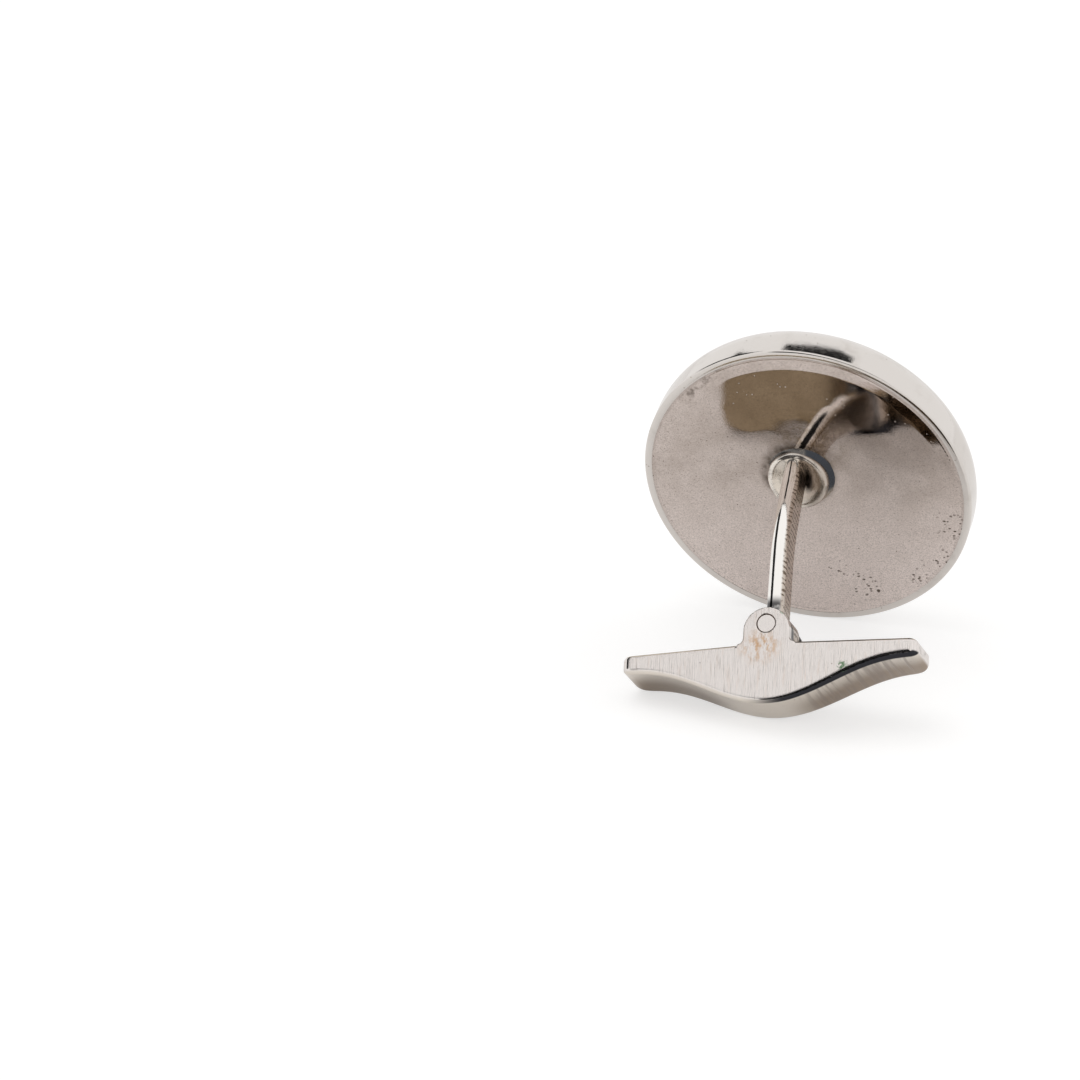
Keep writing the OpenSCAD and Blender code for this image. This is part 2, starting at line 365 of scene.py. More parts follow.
    @classmethod
    def place(
        cls,
        piece: bpy.types.Object,
        placement: Placement,
        body: Body,
        slot: Slot,
        material: bpy.types.Material,
        nodes: Iterable[str],
        sharp: float = sharp_edge,
    ) -> None:
        """Puts a finished piece in the row frame, dresses it and ties it to its body.

        Args:
            piece: Piece in the millimetres of its sub-assembly.
            placement: The sub-assembly's frame.
            body: Body that the piece rides on.
            slot: Slot of the record for its finish; not used.
            material: Its finish.
            nodes: Nodes that it stands for.
            sharp: Angle in degrees past which an edge stays sharp.
        """
        cls.pick(piece)
        piece.matrix_world = placement.matrix()
        bpy.ops.object.transform_apply(location=True, rotation=True, scale=True)
        bpy.ops.object.shade_smooth_by_angle(angle=math.radians(sharp))
        piece.data.materials.clear()
        piece.data.materials.append(material)
        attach(piece, body.value)
        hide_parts(*nodes)
        LOG.info("%s: %d faces, for %s", piece.name, len(piece.data.polygons), ", ".join(nodes))


@dataclass(frozen=True)
class Cloud:
    """A cloudy pattern about 0.5, and the span of it that runs between two strengths."""

    scale: float
    detail: float
    rough: float
    span: Span = (0, 1)
    to: Span = (0, 1)
    stretch: Point = (1, 1, 1)


@dataclass(frozen=True)
class Dots:
    """Scattered dots: how close they lie, where their soft edge runs and how strong they are."""

    scale: float
    inner: float
    outer: float
    strength: float = 1.0
    stretch: Point = (1, 1, 1)


@dataclass(frozen=True)
class Blot:
    """A round blot: its middle in the stretched frame, its reach and its soft edge's width."""

    spot: Point
    reach: float
    soft: float
    stretch: Point = (1, 1, 1)


class Nodes:
    """Adds nodes to one tree."""

    def __init__(self, tree: bpy.types.NodeTree) -> None:
        """Takes the tree that the nodes go into."""
        self.tree = tree

    def node(self, kind: str, sockets: dict[str | int, object], **settings: object) -> bpy.types.Node:
        """Adds a node.

        Args:
            kind: Blender's name of the node's type.
            sockets: Value or link for each input, by name or number.
            settings: Values of the node's own properties.

        Returns:
            The new node.
        """
        made = self.tree.nodes.new(kind)
        for key, value in settings.items():
            setattr(made, key, value)
        for key, value in sockets.items():
            if isinstance(value, Socket):
                self.tree.links.new(value, made.inputs[key])
            else:
                made.inputs[key].default_value = value
        return made

    def math(self, operation: str, first: object, *others: object) -> Socket:
        """Adds an operation that takes in values one after another.

        Args:
            operation: The operation, as a Math node names it.
            first: First value or link.
            others: The other values or links, or none where the operation takes one value.

        Returns:
            The result.
        """
        result = first
        for other in others or (0.0,):
            result = self.node("ShaderNodeMath", {0: result, 1: other}, operation=operation).outputs[0]
        return result

    def product(self, *values: object) -> Socket:
        """Returns the product of some values."""
        return self.math("MULTIPLY", *values)

    def most(self, *values: object) -> Socket:
        """Returns the largest of some values."""
        return self.math("MAXIMUM", *values)


class Recipe(Nodes):
    """Builds the nodes of one metal finish, with its patterns in a sub-assembly's millimetres."""

    def __init__(self, name: str, placement: Placement) -> None:
        """Starts a metal material.

        Args:
            name: Name of the material.
            placement: Frame whose millimetres the patterns are given in.
        """
        self.material = bpy.data.materials.new(name)
        self.material.use_nodes = True
        super().__init__(self.material.node_tree)
        self.shader = self.tree.nodes["Principled BSDF"]
        self.shader.inputs["Metallic"].default_value = 1.0
        self.place = placement
        self.coordinates = self.node("ShaderNodeTexCoord", {}).outputs
        frame_of_patterns = {
            "Vector": self.coordinates["Object"],
            "Location": placement.origin,
            "Rotation": placement.euler(),
            "Scale": (MM, MM, MM),
        }
        self.point = self.node("ShaderNodeMapping", frame_of_patterns, vector_type="TEXTURE").outputs[0]

    def stretched(self, stretch: Point) -> Socket:
        """Stretches the patterns' frame.

        Args:
            stretch: Factor on the place along each axis.

        Returns:
            The place in the sub-assembly's millimetres, times these factors.
        """
        if stretch == (1, 1, 1):
            return self.point
        return self.node("ShaderNodeMapping", {"Vector": self.point, "Scale": stretch}).outputs[0]

    def span(self, value: Socket, span: Span, to: Span = (0, 1)) -> Socket:
        """Spreads a value smoothly from one span to another.

        Args:
            value: Value to spread.
            span: The two ends that it is taken between, either way round.
            to: What it becomes at those ends and past them.

        Returns:
            The spread value.
        """
        ends = dict(zip(("From Min", "From Max", "To Min", "To Max"), (*span, *to)))
        made = self.node("ShaderNodeMapRange", {"Value": value, **ends}, interpolation_type="SMOOTHSTEP")
        return made.outputs[0]

    def noise(self, cloud: Cloud) -> Socket:
        """Adds a cloud's noise.

        Args:
            cloud: Cloud to add.

        Returns:
            The bare noise, about 0.5.
        """
        numbers = {"Scale": cloud.scale, "Detail": cloud.detail, "Roughness": cloud.rough}
        sockets = {"Vector": self.stretched(cloud.stretch), **numbers}
        return self.node("ShaderNodeTexNoise", sockets).outputs[0]

    def cloud(self, cloud: Cloud) -> Socket:
        """Returns a cloud's noise, spread over its span."""
        return self.span(self.noise(cloud), cloud.span, cloud.to)

    def dots(self, dots: Dots) -> Socket:
        """Adds scattered dots.

        Args:
            dots: Dots to add.

        Returns:
            Their strength within them, and 0 between them.
        """
        sockets = {"Vector": self.stretched(dots.stretch), "Scale": dots.scale, "Randomness": 1.0}
        gap = self.node("ShaderNodeTexVoronoi", sockets).outputs["Distance"]
        return self.span(gap, (dots.inner, dots.outer), (dots.strength, 0))

    def blot(self, blot: Blot) -> Socket:
        """Adds a blot.

        Args:
            blot: Blot to add.

        Returns:
            1 within its reach, falling to 0 over its soft edge.
        """
        sockets = {0: self.stretched(blot.stretch), 1: blot.spot}
        gap = self.node("ShaderNodeVectorMath", sockets, operation="DISTANCE").outputs["Value"]
        return self.span(gap, (blot.reach + blot.soft, blot.reach))

    def along(self, place: Socket, way: Point | Vector) -> Socket:
        """Returns how far a place or a normal points a way."""
        made = self.node("ShaderNodeVectorMath", {0: place, 1: way}, operation="DOT_PRODUCT")
        return made.outputs["Value"]

    def facing(self, way: Vector, span: Span) -> Socket:
        """Returns where the surface faces a way of the row frame, from 0 to 1 over the span."""
        return self.span(self.along(self.coordinates["Normal"], way), span)

    def past(self, way: Point, span: Span, to: Span = (0, 1)) -> Socket:
        """Returns how far a place lies a way, spread from the ends of span to those of to."""
        return self.span(self.along(self.point, way), span, to)

    def blend(self, share: Socket, a: object, b: object) -> Socket:
        """Blends two colours.

        Args:
            share: Share of the second colour, from 0 to 1.
            a: First colour, or a link to it.
            b: Second colour, or a link to it.

        Returns:
            The colour between them.
        """
        sockets = {0: share}
        for key, colour in ((MIX_A, a), (MIX_B, b)):
            sockets[key] = colour if isinstance(colour, Socket) else (*colour, 1)
        return self.node("ShaderNodeMix", sockets, data_type="RGBA").outputs[MIX_OUT]

    def bump(self, layers: Iterable[tuple[Socket, float]]) -> None:
        """Lays height patterns over each other.

        Args:
            layers: Each pattern with its height in millimetres.
        """
        normal = None
        for height, size in layers:
            sockets = {"Height": height, "Strength": 1.0, "Distance": size * MM}
            if normal:
                sockets["Normal"] = normal
            normal = self.node("ShaderNodeBump", sockets).outputs[0]
        self.tree.links.new(normal, self.shader.inputs["Normal"])

    def finish(self, colour: Socket, roughness: Socket) -> bpy.types.Material:
        """Links the colour and the roughness.

        Args:
            colour: Link to the colour.
            roughness: Link to the roughness.

        Returns:
            The finished material.
        """
        self.tree.links.new(colour, self.shader.inputs["Base Color"])
        self.tree.links.new(roughness, self.shader.inputs["Roughness"])
        return self.material


@dataclass(frozen=True)
class Silver:
    """Worn polished silver: what the other finishes start from."""

    name: str = "polished_silver"
    clean: Colour = (0.71, 0.67, 0.635)
    tarnish: Colour = (0.36, 0.31, 0.26)
    smooth: float = 0.05
    rough: float = 0.13
    wear: Cloud = Cloud(3, 4, 0.6, (0.3, 0.75))
    skin: Cloud = Cloud(14, 4, 0.6)
    skin_depth: float = 0.0012
    haze: Cloud = Cloud(0.35, 5, 0.6, (0.52, 0.85), (0, 0.45))
    specks: Dots = Dots(1.5, 0.04, 0.085, 0.9)

    def tarnish_and_shade(self, recipe: Recipe) -> Socket:
        """Returns where the tarnish lies, from 0 to 1."""
        return recipe.most(recipe.cloud(self.haze), recipe.dots(self.specks))

    def layers(self, recipe: Recipe) -> list[tuple[Socket, float]]:
        """Returns the height patterns."""
        return [(recipe.noise(self.skin), self.skin_depth)]

    def sheen(self, recipe: Recipe) -> Socket:
        """Returns the roughness."""
        return recipe.span(recipe.noise(self.wear), self.wear.span, (self.smooth, self.rough))

    def tint(self, recipe: Recipe) -> Socket:
        """Returns the colour."""
        return recipe.blend(self.tarnish_and_shade(recipe), self.clean, self.tarnish)

    def material(self, placement: Placement) -> bpy.types.Material:
        """Builds the material.

        Args:
            placement: Frame of the sub-assembly that it dresses.

        Returns:
            The new material.
        """
        recipe = Recipe(self.name, placement)
        recipe.bump(self.layers(recipe))
        return recipe.finish(self.tint(recipe), self.sheen(recipe))


@dataclass(frozen=True)
class CastSilver(Silver):
    """Back plate with a sandy grain, casting pits, tarnish and painted shade round the post, and painted
    shade towards the top.
    """

    name: str = "back_silver"
    clean: Colour = (0.83, 0.74, 0.70)
    # Dark colour of the tarnish, also used for the painted shade round the collar's foot.
    tarnish: Colour = (0.12, 0.095, 0.075)
    # Painted shade, laid on darker towards the top of the plate.
    painted_shade: Colour = (0.54, 0.465, 0.42)
    sand: Colour = (0.36, 0.30, 0.265)
    brown: Colour = (0.33, 0.26, 0.195)
    smooth: float = 0.012
    rough: float = 0.045
    skin: Cloud = Cloud(9, 5, 0.7)
    skin_depth: float = 0.0009
    haze: Cloud = Cloud(0.5, 6, 0.65, (0.45, 0.8), (0, 0.12))
    # The next four lay the painted shade: broken up by slow waves, growing up the plate.
    waves: Cloud = Cloud(0.45, 5, 0.6, (0.3, 0.7), (0.5, 1))
    up_way: Point = (0.06, 1, 0)
    upper: Span = (-7.5, 2.0)
    upper_shade: float = 0.9
    sanded: Cloud = Cloud(12, 4, 0.85, (0.38, 0.62), (0, 0.42))
    pepper: Cloud = Cloud(11, 4, 0.8, (0.50, 0.68), (0, 0.5))
    above: Blot = Blot((0.6, 3.1, 0), 0.6, 2.6)
    above_stain: Cloud = Cloud(1.1, 5, 0.7, (0.40, 0.62), (0, 0.85))
    # Tarnish and painted shade round the collar's foot, broken up by a cloud.
    foot: Blot = Blot((-0.45, 0.8, 0), 1.95, 0.65)
    foot_patches: Cloud = Cloud(1.6, 4, 0.5, (0.3, 0.6), (0.55, 1))
    fine_pits: Dots = Dots(2.4, 0.05, 0.12)
    fine_where: Cloud = Cloud(0.5, 2, 0.5, (0.50, 0.62))
    large_pits: Dots = Dots(0.9, 0.20, 0.34, stretch=(3.2, 5.2, 1))
    large_where: tuple[Blot, ...] = (
        Blot((0.6, -6.3, 0), 0.32, 0.64),
        Blot((2.0, -7.5, 0), 0.52, 1.04),
        Blot((8.4, -3.1, 0), 0.48, 0.96),
        Blot((7.1, -5.7, 0), 0.48, 0.96),
        Blot((5.6, -6.8, 0), 0.28, 0.56),
    )
    holes: tuple[Blot, ...] = (
        Blot((-5.56, 4.03, 0), 0.11, 0.04),
        Blot((1.55, -6.75, 0), 0.13, 0.04),
        Blot((0.4, -6.0, 0), 0.08, 0.04),
        Blot((2.9, -7.95, 0), 0.11, 0.04),
    )
    pit_depth: float = 0.03
    scratch: tuple[Point, Point] = ((-6.4, 6.5, 0), (-3.8, 8.9, 0))
    scratch_marks: int = 12
    scratch_reach: float = 0.12
    scratch_soft: float = 0.3
    scratch_worn: Cloud = Cloud(1.6, 3, 0.6, (0.42, 0.62), (0, 0.75))

    def scratched(self, recipe: Recipe) -> Socket:
        """Lays the long scratch as a line of marks.

        Args:
            recipe: Recipe that the nodes go into.

        Returns:
            Where it runs, from 0 to 1.
        """
        start, end = (Vector(place) for place in self.scratch)
        places = [start.lerp(end, i / (self.scratch_marks - 1)) for i in range(self.scratch_marks)]
        marks = [Blot(tuple(place), self.scratch_reach, self.scratch_soft) for place in places]
        return recipe.product(recipe.most(*map(recipe.blot, marks)), recipe.cloud(self.scratch_worn))

    def pits(self, recipe: Recipe) -> Socket:
        """Lays the fine pits, the patches of large ones and the single holes.

        Args:
            recipe: Recipe that the nodes go into.

        Returns:
            1 in the pits and 0 between them.
        """
        fine = recipe.product(recipe.dots(self.fine_pits), recipe.cloud(self.fine_where))
        large = recipe.dots(self.large_pits)
        patches = [recipe.product(large, recipe.blot(patch)) for patch in self.large_where]
        return recipe.most(fine, *patches, *map(recipe.blot, self.holes))

    def tarnish_and_shade(self, recipe: Recipe) -> Socket:
        """Lays the tarnish in the pits, in the grain and along the scratch, and tarnish with painted shade
        round the collar.

        Args:
            recipe: Recipe that the nodes go into.

        Returns:
            Where it lies, from 0 to 1.
        """
        # Tarnish and painted shade round the collar's foot.
        foot = recipe.product(recipe.blot(self.foot), recipe.cloud(self.foot_patches))
        clouds = (recipe.cloud(self.haze), recipe.cloud(self.pepper))
        return recipe.most(*clouds, foot, self.scratched(recipe), self.pits(recipe))

    def tint(self, recipe: Recipe) -> Socket:
        """Blends the colour, with painted shade towards the top and browner above the collar.

        Args:
            recipe: Recipe that the nodes go into.

        Returns:
            The colour.
        """
        # Painted shade, growing towards the top and broken up by slow waves.
        painted_shade = recipe.past(self.up_way, self.upper, (0, self.upper_shade))
        colour = recipe.blend(recipe.product(recipe.cloud(self.waves), painted_shade), self.clean, self.painted_shade)
        colour = recipe.blend(recipe.cloud(self.sanded), colour, self.sand)
        stained = recipe.product(recipe.cloud(self.above_stain), recipe.blot(self.above))
        colour = recipe.blend(stained, colour, self.brown)
        return recipe.blend(self.tarnish_and_shade(recipe), colour, self.tarnish)

    def layers(self, recipe: Recipe) -> list[tuple[Socket, float]]:
        """Returns the height patterns: a fine grain and the pits."""
        return [*super().layers(recipe), (recipe.product(self.pits(recipe), -1.0), self.pit_depth)]


@dataclass(frozen=True)
class BrushedSilver(Silver):
    """Silver brushed up the toggle's face, with polished edges and file ribs underneath."""

    name: str = "brushed_silver"
    clean: Colour = (0.78, 0.73, 0.70)
    tarnish: Colour = (0.58, 0.35, 0.18)
    # The underside's browner tone: tarnish, and a painted reflection of the shaded table under it.
    under: Colour = (0.76, 0.70, 0.63)
    # Painted shade on the back face and towards the back of the underside.
    painted_back_shade: Colour = (0.35, 0.28, 0.22)
    # Painted shade on the upper side.
    top: Colour = (0.33, 0.265, 0.18)
    line: Colour = (0.30, 0.25, 0.215)
    # Black that paints dark reflections on the hinge and on two edges.
    dark: Colour = (0.035, 0.035, 0.04)
    outline: Colour = (0.16, 0.10, 0.065)
    patina: Colour = (0.16, 0.25, 0.15)
    smooth: float = 0.07
    rough: float = 0.25
    under_rough: float = 0.11
    brush: Cloud = Cloud(1, 4, 0.8, (0.5, 0.7), (0, 0.62), (24, 0.6, 0.6))
    brush_depth: float = 0.005
    ribs: Cloud = Cloud(1, 2, 0.55, (0.42, 0.62), stretch=(3.4, 0.25, 0.25))
    ribs_start: Span = (1.6, 3.2)
    ribs_end: Span = (8.9, 8.2)
    ribs_dark: float = 0.6
    ribs_depth: float = 0.02
    haze: Cloud = Cloud(1, 4, 0.6, (0.52, 0.8), (0, 0.22), (4, 0.5, 0.5))
    stain: Blot = Blot((-0.3, -1.7, 0), 0.3, 1.4, (1, 1.2, 0))
    stain_streaks: Cloud = Cloud(1, 5, 0.75, (0.40, 0.62), (0, 0.9), (2.6, 1.3, 1.3))
    # The next two place the painted shade under the bar: it grows towards the back, but not at the keel's
    # middle.
    keel: Blot = Blot((-0.6, 0, 0), 1.2, 2.6, (1, 0, 0))
    back_shade_reach: Span = (1.6, -0.4)
    green: tuple[Blot, ...] = (Blot((1.02, 0.72, 1.8), 0.1, 0.2), Blot((4.75, -2.95, 1.8), 0.15, 0.3))
    green_grown: Cloud = Cloud(6, 3, 0.7, (0.42, 0.56))
    specks: Dots = Dots(1.4, 0.03, 0.06, 0.9)
    bore_edge: Blot = Blot((0, 0, 0), 0.588, 0.015, (1, 1, 0))
    # The next four place the painted dark reflections.
    ragged: Cloud = Cloud(0.9, 3, 0.6, (0.36, 0.56), (0.4, 0.9))
    right_wing: Span = (-1.6, 1.2)
    ear: Span = (-1.3, -1.05)
    behind_face: Span = (1.35, 1.15)
    faces_out: Span = (0.93, 0.995)
    faces_down: Span = (0.25, 0.75)
    faces_under: Span = (0.3, 0.8)
    faces_up: Span = (0.3, 0.7)
    # Where the painted dark reflections lie on the two edges.
    edge_out: tuple[Span, Span] = ((0.93, 0.80), (0.08, 0.25))
    edge_down: Span = (0.15, 0.4)
    rear_edge: Span = (0.1, 0.4)

    def face(self, recipe: Recipe) -> Socket:
        """Returns 1 on the flat face and 0 on the rounded edges."""
        return recipe.facing(recipe.place.z, self.faces_out)

    def ribbed(self, recipe: Recipe, down: Span) -> Socket:
        """Returns the file ribs that cross the right wing's underside, where it faces down."""
        ends = [recipe.past(X_WAY, end) for end in (self.ribs_start, self.ribs_end)]
        return recipe.product(recipe.cloud(self.ribs), *ends, recipe.facing(-recipe.place.y, down))

    def tarnish_and_shade(self, recipe: Recipe) -> Socket:
        """Returns where the stain lies: below the pin, in streaks along the brush marks."""
        below = recipe.product(recipe.blot(self.stain), recipe.cloud(self.stain_streaks))
        return recipe.product(recipe.most(below, recipe.cloud(self.haze)), self.face(recipe))

    def tint(self, recipe: Recipe) -> Socket:
        """Blends the colour: clean face, underside browner from tarnish and a painted reflection, painted
        shade towards the back, on the back face and on the upper side, painted dark reflections and a few
        marks.

        Args:
            recipe: Recipe that the nodes go into.

        Returns:
            The colour.
        """
        # Painted shade under the bar, growing towards the back but not at the keel's middle.
        keel = recipe.math("SUBTRACT", 1.0, recipe.blot(self.keel))
        depth = recipe.product(recipe.past(Z_WAY, self.back_shade_reach), keel)
        underside = recipe.blend(depth, self.under, self.painted_back_shade)
        grown = recipe.cloud(self.green_grown)
        greens = [(recipe.product(recipe.blot(spot), grown), self.patina) for spot in self.green]
        colour = super().tint(recipe)
        for share, other in (
            (recipe.cloud(self.brush), self.line),
            # The underside: tarnish brown, with painted shade towards the back.
            (recipe.facing(-recipe.place.y, self.faces_down), underside),
            (recipe.product(self.ribbed(recipe, self.faces_down), self.ribs_dark), self.line),
            # Painted shade on the back face and on the upper side.
            (recipe.facing(-recipe.place.z, self.faces_under), self.painted_back_shade),
            (recipe.facing(recipe.place.y, self.faces_up), self.top),
            # Painted dark reflections on the hinge and on two edges.
            (self.painted_dark_reflections(recipe), self.dark),
            *greens,
            (recipe.dots(self.specks), self.outline),
            (recipe.blot(self.bore_edge), self.outline),
        ):
            colour = recipe.blend(share, colour, other)
        return colour

    def painted_dark_reflections(self, recipe: Recipe) -> Socket:
        """Paints dark reflections on the hinge's inner sides and on two of the edges.

        Args:
            recipe: Recipe that the nodes go into.

        Returns:
            Where it lies, from 0 to 1.
        """
        # A painted dark reflection along the right wing's lower front edge, a ragged one on the upper back
        # edge and one on the hinge's inner sides.
        out = [recipe.facing(recipe.place.z, turn) for turn in self.edge_out]
        down = recipe.facing(-recipe.place.y, self.edge_down)
        edge = recipe.product(*out, down, recipe.past(X_WAY, self.right_wing))
        back = [recipe.facing(way, self.rear_edge) for way in (recipe.place.y, -recipe.place.z)]
        rear = recipe.product(*back, recipe.cloud(self.ragged))
        ear = recipe.product(recipe.past(Y_WAY, self.ear), recipe.past(Z_WAY, self.behind_face))
        return recipe.most(edge, rear, ear)

    def sheen(self, recipe: Recipe) -> Socket:
        """Makes the face brushed and the edges polished.

        Args:
            recipe: Recipe that the nodes go into.

        Returns:
            The roughness.
        """
        face = recipe.product(self.face(recipe), self.rough - self.smooth)
        under = recipe.product(recipe.facing(-recipe.place.y, self.faces_under), self.under_rough)
        return recipe.math("ADD", face, under, self.smooth)

    def layers(self, recipe: Recipe) -> list[tuple[Socket, float]]:
        """Lays brush lines on the face and ribs under the right wing.

        Args:
            recipe: Recipe that the nodes go into.

        Returns:
            Each height pattern with its height in millimetres.
        """
        brushed = recipe.product(recipe.noise(self.brush), self.face(recipe))
        ribs = self.ribbed(recipe, self.faces_under)
        return [(brushed, self.brush_depth), (ribs, self.ribs_depth)]


@dataclass(frozen=True)
class PinSilver(BrushedSilver):
    """The hinge pin's filed end, with a thin brown line round it."""

    name: str = "pin_silver"
    middle: Blot = Blot((0, 0, 0), 0.525, 0.03, (1, 1, 0))

    def tint(self, recipe: Recipe) -> Socket:
        """Returns the colour: clean in the middle and brown at the edge."""
        return recipe.blend(recipe.blot(self.middle), self.outline, self.clean)


@dataclass(frozen=True)
class FiledSilver(Silver):
    """Polished post with short cross file marks on its flat side."""

    name: str = "post_silver"
    clean: Colour = (0.92, 0.89, 0.85)
    tarnish: Colour = (0.10, 0.095, 0.095)
    flat: Colour = (0.56, 0.49, 0.43)
    mark: Colour = (0.16, 0.12, 0.09)
    smooth: float = 0.04
    rough: float = 0.08
    flat_rough: float = 0.14
    faces_side: Span = (0.6, 0.85)
    run: Point = (0, -0.34, 0.94)
    pitch: float = 0.34
    sway: Cloud = Cloud(2.2, 3, 0.6)
    sway_size: float = 0.5
    crest: Span = (0.2, 0.75)
    broken: Cloud = Cloud(1, 3, 0.6, (0.36, 0.50), stretch=(1, 4, 1))
    tick_depth: float = 0.008
    neck: Blot = Blot((0, -2.75, 10.4), 1.65, 0.6)
    neck_worn: Cloud = Cloud(1.7, 3, 0.5, (0.30, 0.50), (0.5, 1))

    def side(self, recipe: Recipe) -> Socket:
        """Returns 1 on the flat side."""
        return recipe.facing(recipe.place.x, self.faces_side)

    def ticks(self, recipe: Recipe) -> Socket:
        """Lays short cross marks on the flat side.

        Args:
            recipe: Recipe that the nodes go into.

        Returns:
            Where they lie, from 0 to 1.
        """
        sway = recipe.product(recipe.noise(self.sway), self.sway_size)
        place = recipe.math("ADD", recipe.along(recipe.point, self.run), sway)
        wave = recipe.math("SINE", recipe.product(place, math.tau / self.pitch))
        return recipe.product(recipe.span(wave, self.crest), recipe.cloud(self.broken), self.side(recipe))

    def tarnish_and_shade(self, recipe: Recipe) -> Socket:
        """Returns where the tarnish lies: at the neck's end."""
        return recipe.product(recipe.blot(self.neck), recipe.cloud(self.neck_worn))

    def tint(self, recipe: Recipe) -> Socket:
        """Returns the colour: bright rounds and a duller flat side with its marks."""
        colour = recipe.blend(self.side(recipe), super().tint(recipe), self.flat)
        return recipe.blend(self.ticks(recipe), colour, self.mark)

    def sheen(self, recipe: Recipe) -> Socket:
        """Returns the roughness, higher on the flat side."""
        flat = recipe.product(self.side(recipe), self.flat_rough)
        return recipe.math("ADD", super().sheen(recipe), flat)

    def layers(self, recipe: Recipe) -> list[tuple[Socket, float]]:
        """Returns the height patterns: a fine skin and the cross marks."""
        return [*super().layers(recipe), (recipe.product(self.ticks(recipe), -1.0), self.tick_depth)]


@dataclass(frozen=True)
class CollarSilver(Silver):
    """Worn collar with tarnish round its foot, painted shade in its hollow and in a wedge under the post,
    and painted shade on its right lobe.
    """

    name: str = "collar_silver"
    clean: Colour = (0.80, 0.745, 0.68)
    # Dark colour of the tarnish, also used for the painted shade in the hollow and the wedge.
    tarnish: Colour = (0.07, 0.06, 0.055)
    # Painted shade on the right lobe.
    painted_shade: Colour = (0.50, 0.44, 0.385)
    smooth: float = 0.12
    rough: float = 0.26
    skin_depth: float = 0.010
    haze: Cloud = Cloud(1.3, 5, 0.65, (0.5, 0.75), (0, 0.6))
    # Painted shade in the hollow beside the post and in the wedge under it.
    hollow: Blot = Blot((0.28, 0.225, 0.15), 0.18, 0.42, (1, 0.5, 1))
    wedge: Blot = Blot((0.1, 2.3, 0.35), 0.16, 0.22)
    foot: Span = (-0.22, 0.12)
    foot_dark: float = 0.95
    right_lobe: Span = (-0.5, 0.5)

    def tarnish_and_shade(self, recipe: Recipe) -> Socket:
        """Lays painted shade in the hollow and in a wedge, and tarnish at the foot and in clouds.

        Args:
            recipe: Recipe that the nodes go into.

        Returns:
            Where it lies, from 0 to 1.
        """
        foot = recipe.past(Z_WAY, self.foot, (self.foot_dark, 0))
        # Painted shade in the hollow and in the wedge.
        blots = (recipe.blot(self.hollow), recipe.blot(self.wedge))
        return recipe.most(*blots, recipe.cloud(self.haze), foot)

    def tint(self, recipe: Recipe) -> Socket:
        """Returns the colour: bright on the left lobe and with painted shade on the right one."""
        # Painted shade on the right lobe.
        colour = recipe.blend(recipe.past(X_WAY, self.right_lobe), self.clean, self.painted_shade)
        return recipe.blend(self.tarnish_and_shade(recipe), colour, self.tarnish)


@dataclass(frozen=True)
class Solder(Silver):
    """Solder with dark tarnish in its hollows and painted shade on its right side."""

    name: str = "solder"
    clean: Colour = (0.46, 0.40, 0.33)
    # Dark colour of the tarnish, also used for the painted shade on the right side.
    tarnish: Colour = (0.05, 0.054, 0.062)
    smooth: float = 0.16
    rough: float = 0.34
    skin_depth: float = 0.006
    haze: Cloud = Cloud(1.6, 5, 0.65, (0.30, 0.50), (0.15, 0.8))
    # The next two place the painted shade on the right side.
    right_way: Point = (1, 0.1, 0)
    right: Span = (0.1, 0.7)
    up_way: Point = (-0.25, 1, 0)
    upper: Span = (-1.1, -0.4)

    def tarnish_and_shade(self, recipe: Recipe) -> Socket:
        """Returns where it is dark: painted shade on the right side, and tarnish in patches on the left."""
        # Tarnish patches and painted shade on the right side, both kept to the upper part.
        dark = recipe.most(recipe.cloud(self.haze), recipe.past(self.right_way, self.right))
        return recipe.product(dark, recipe.past(self.up_way, self.upper))


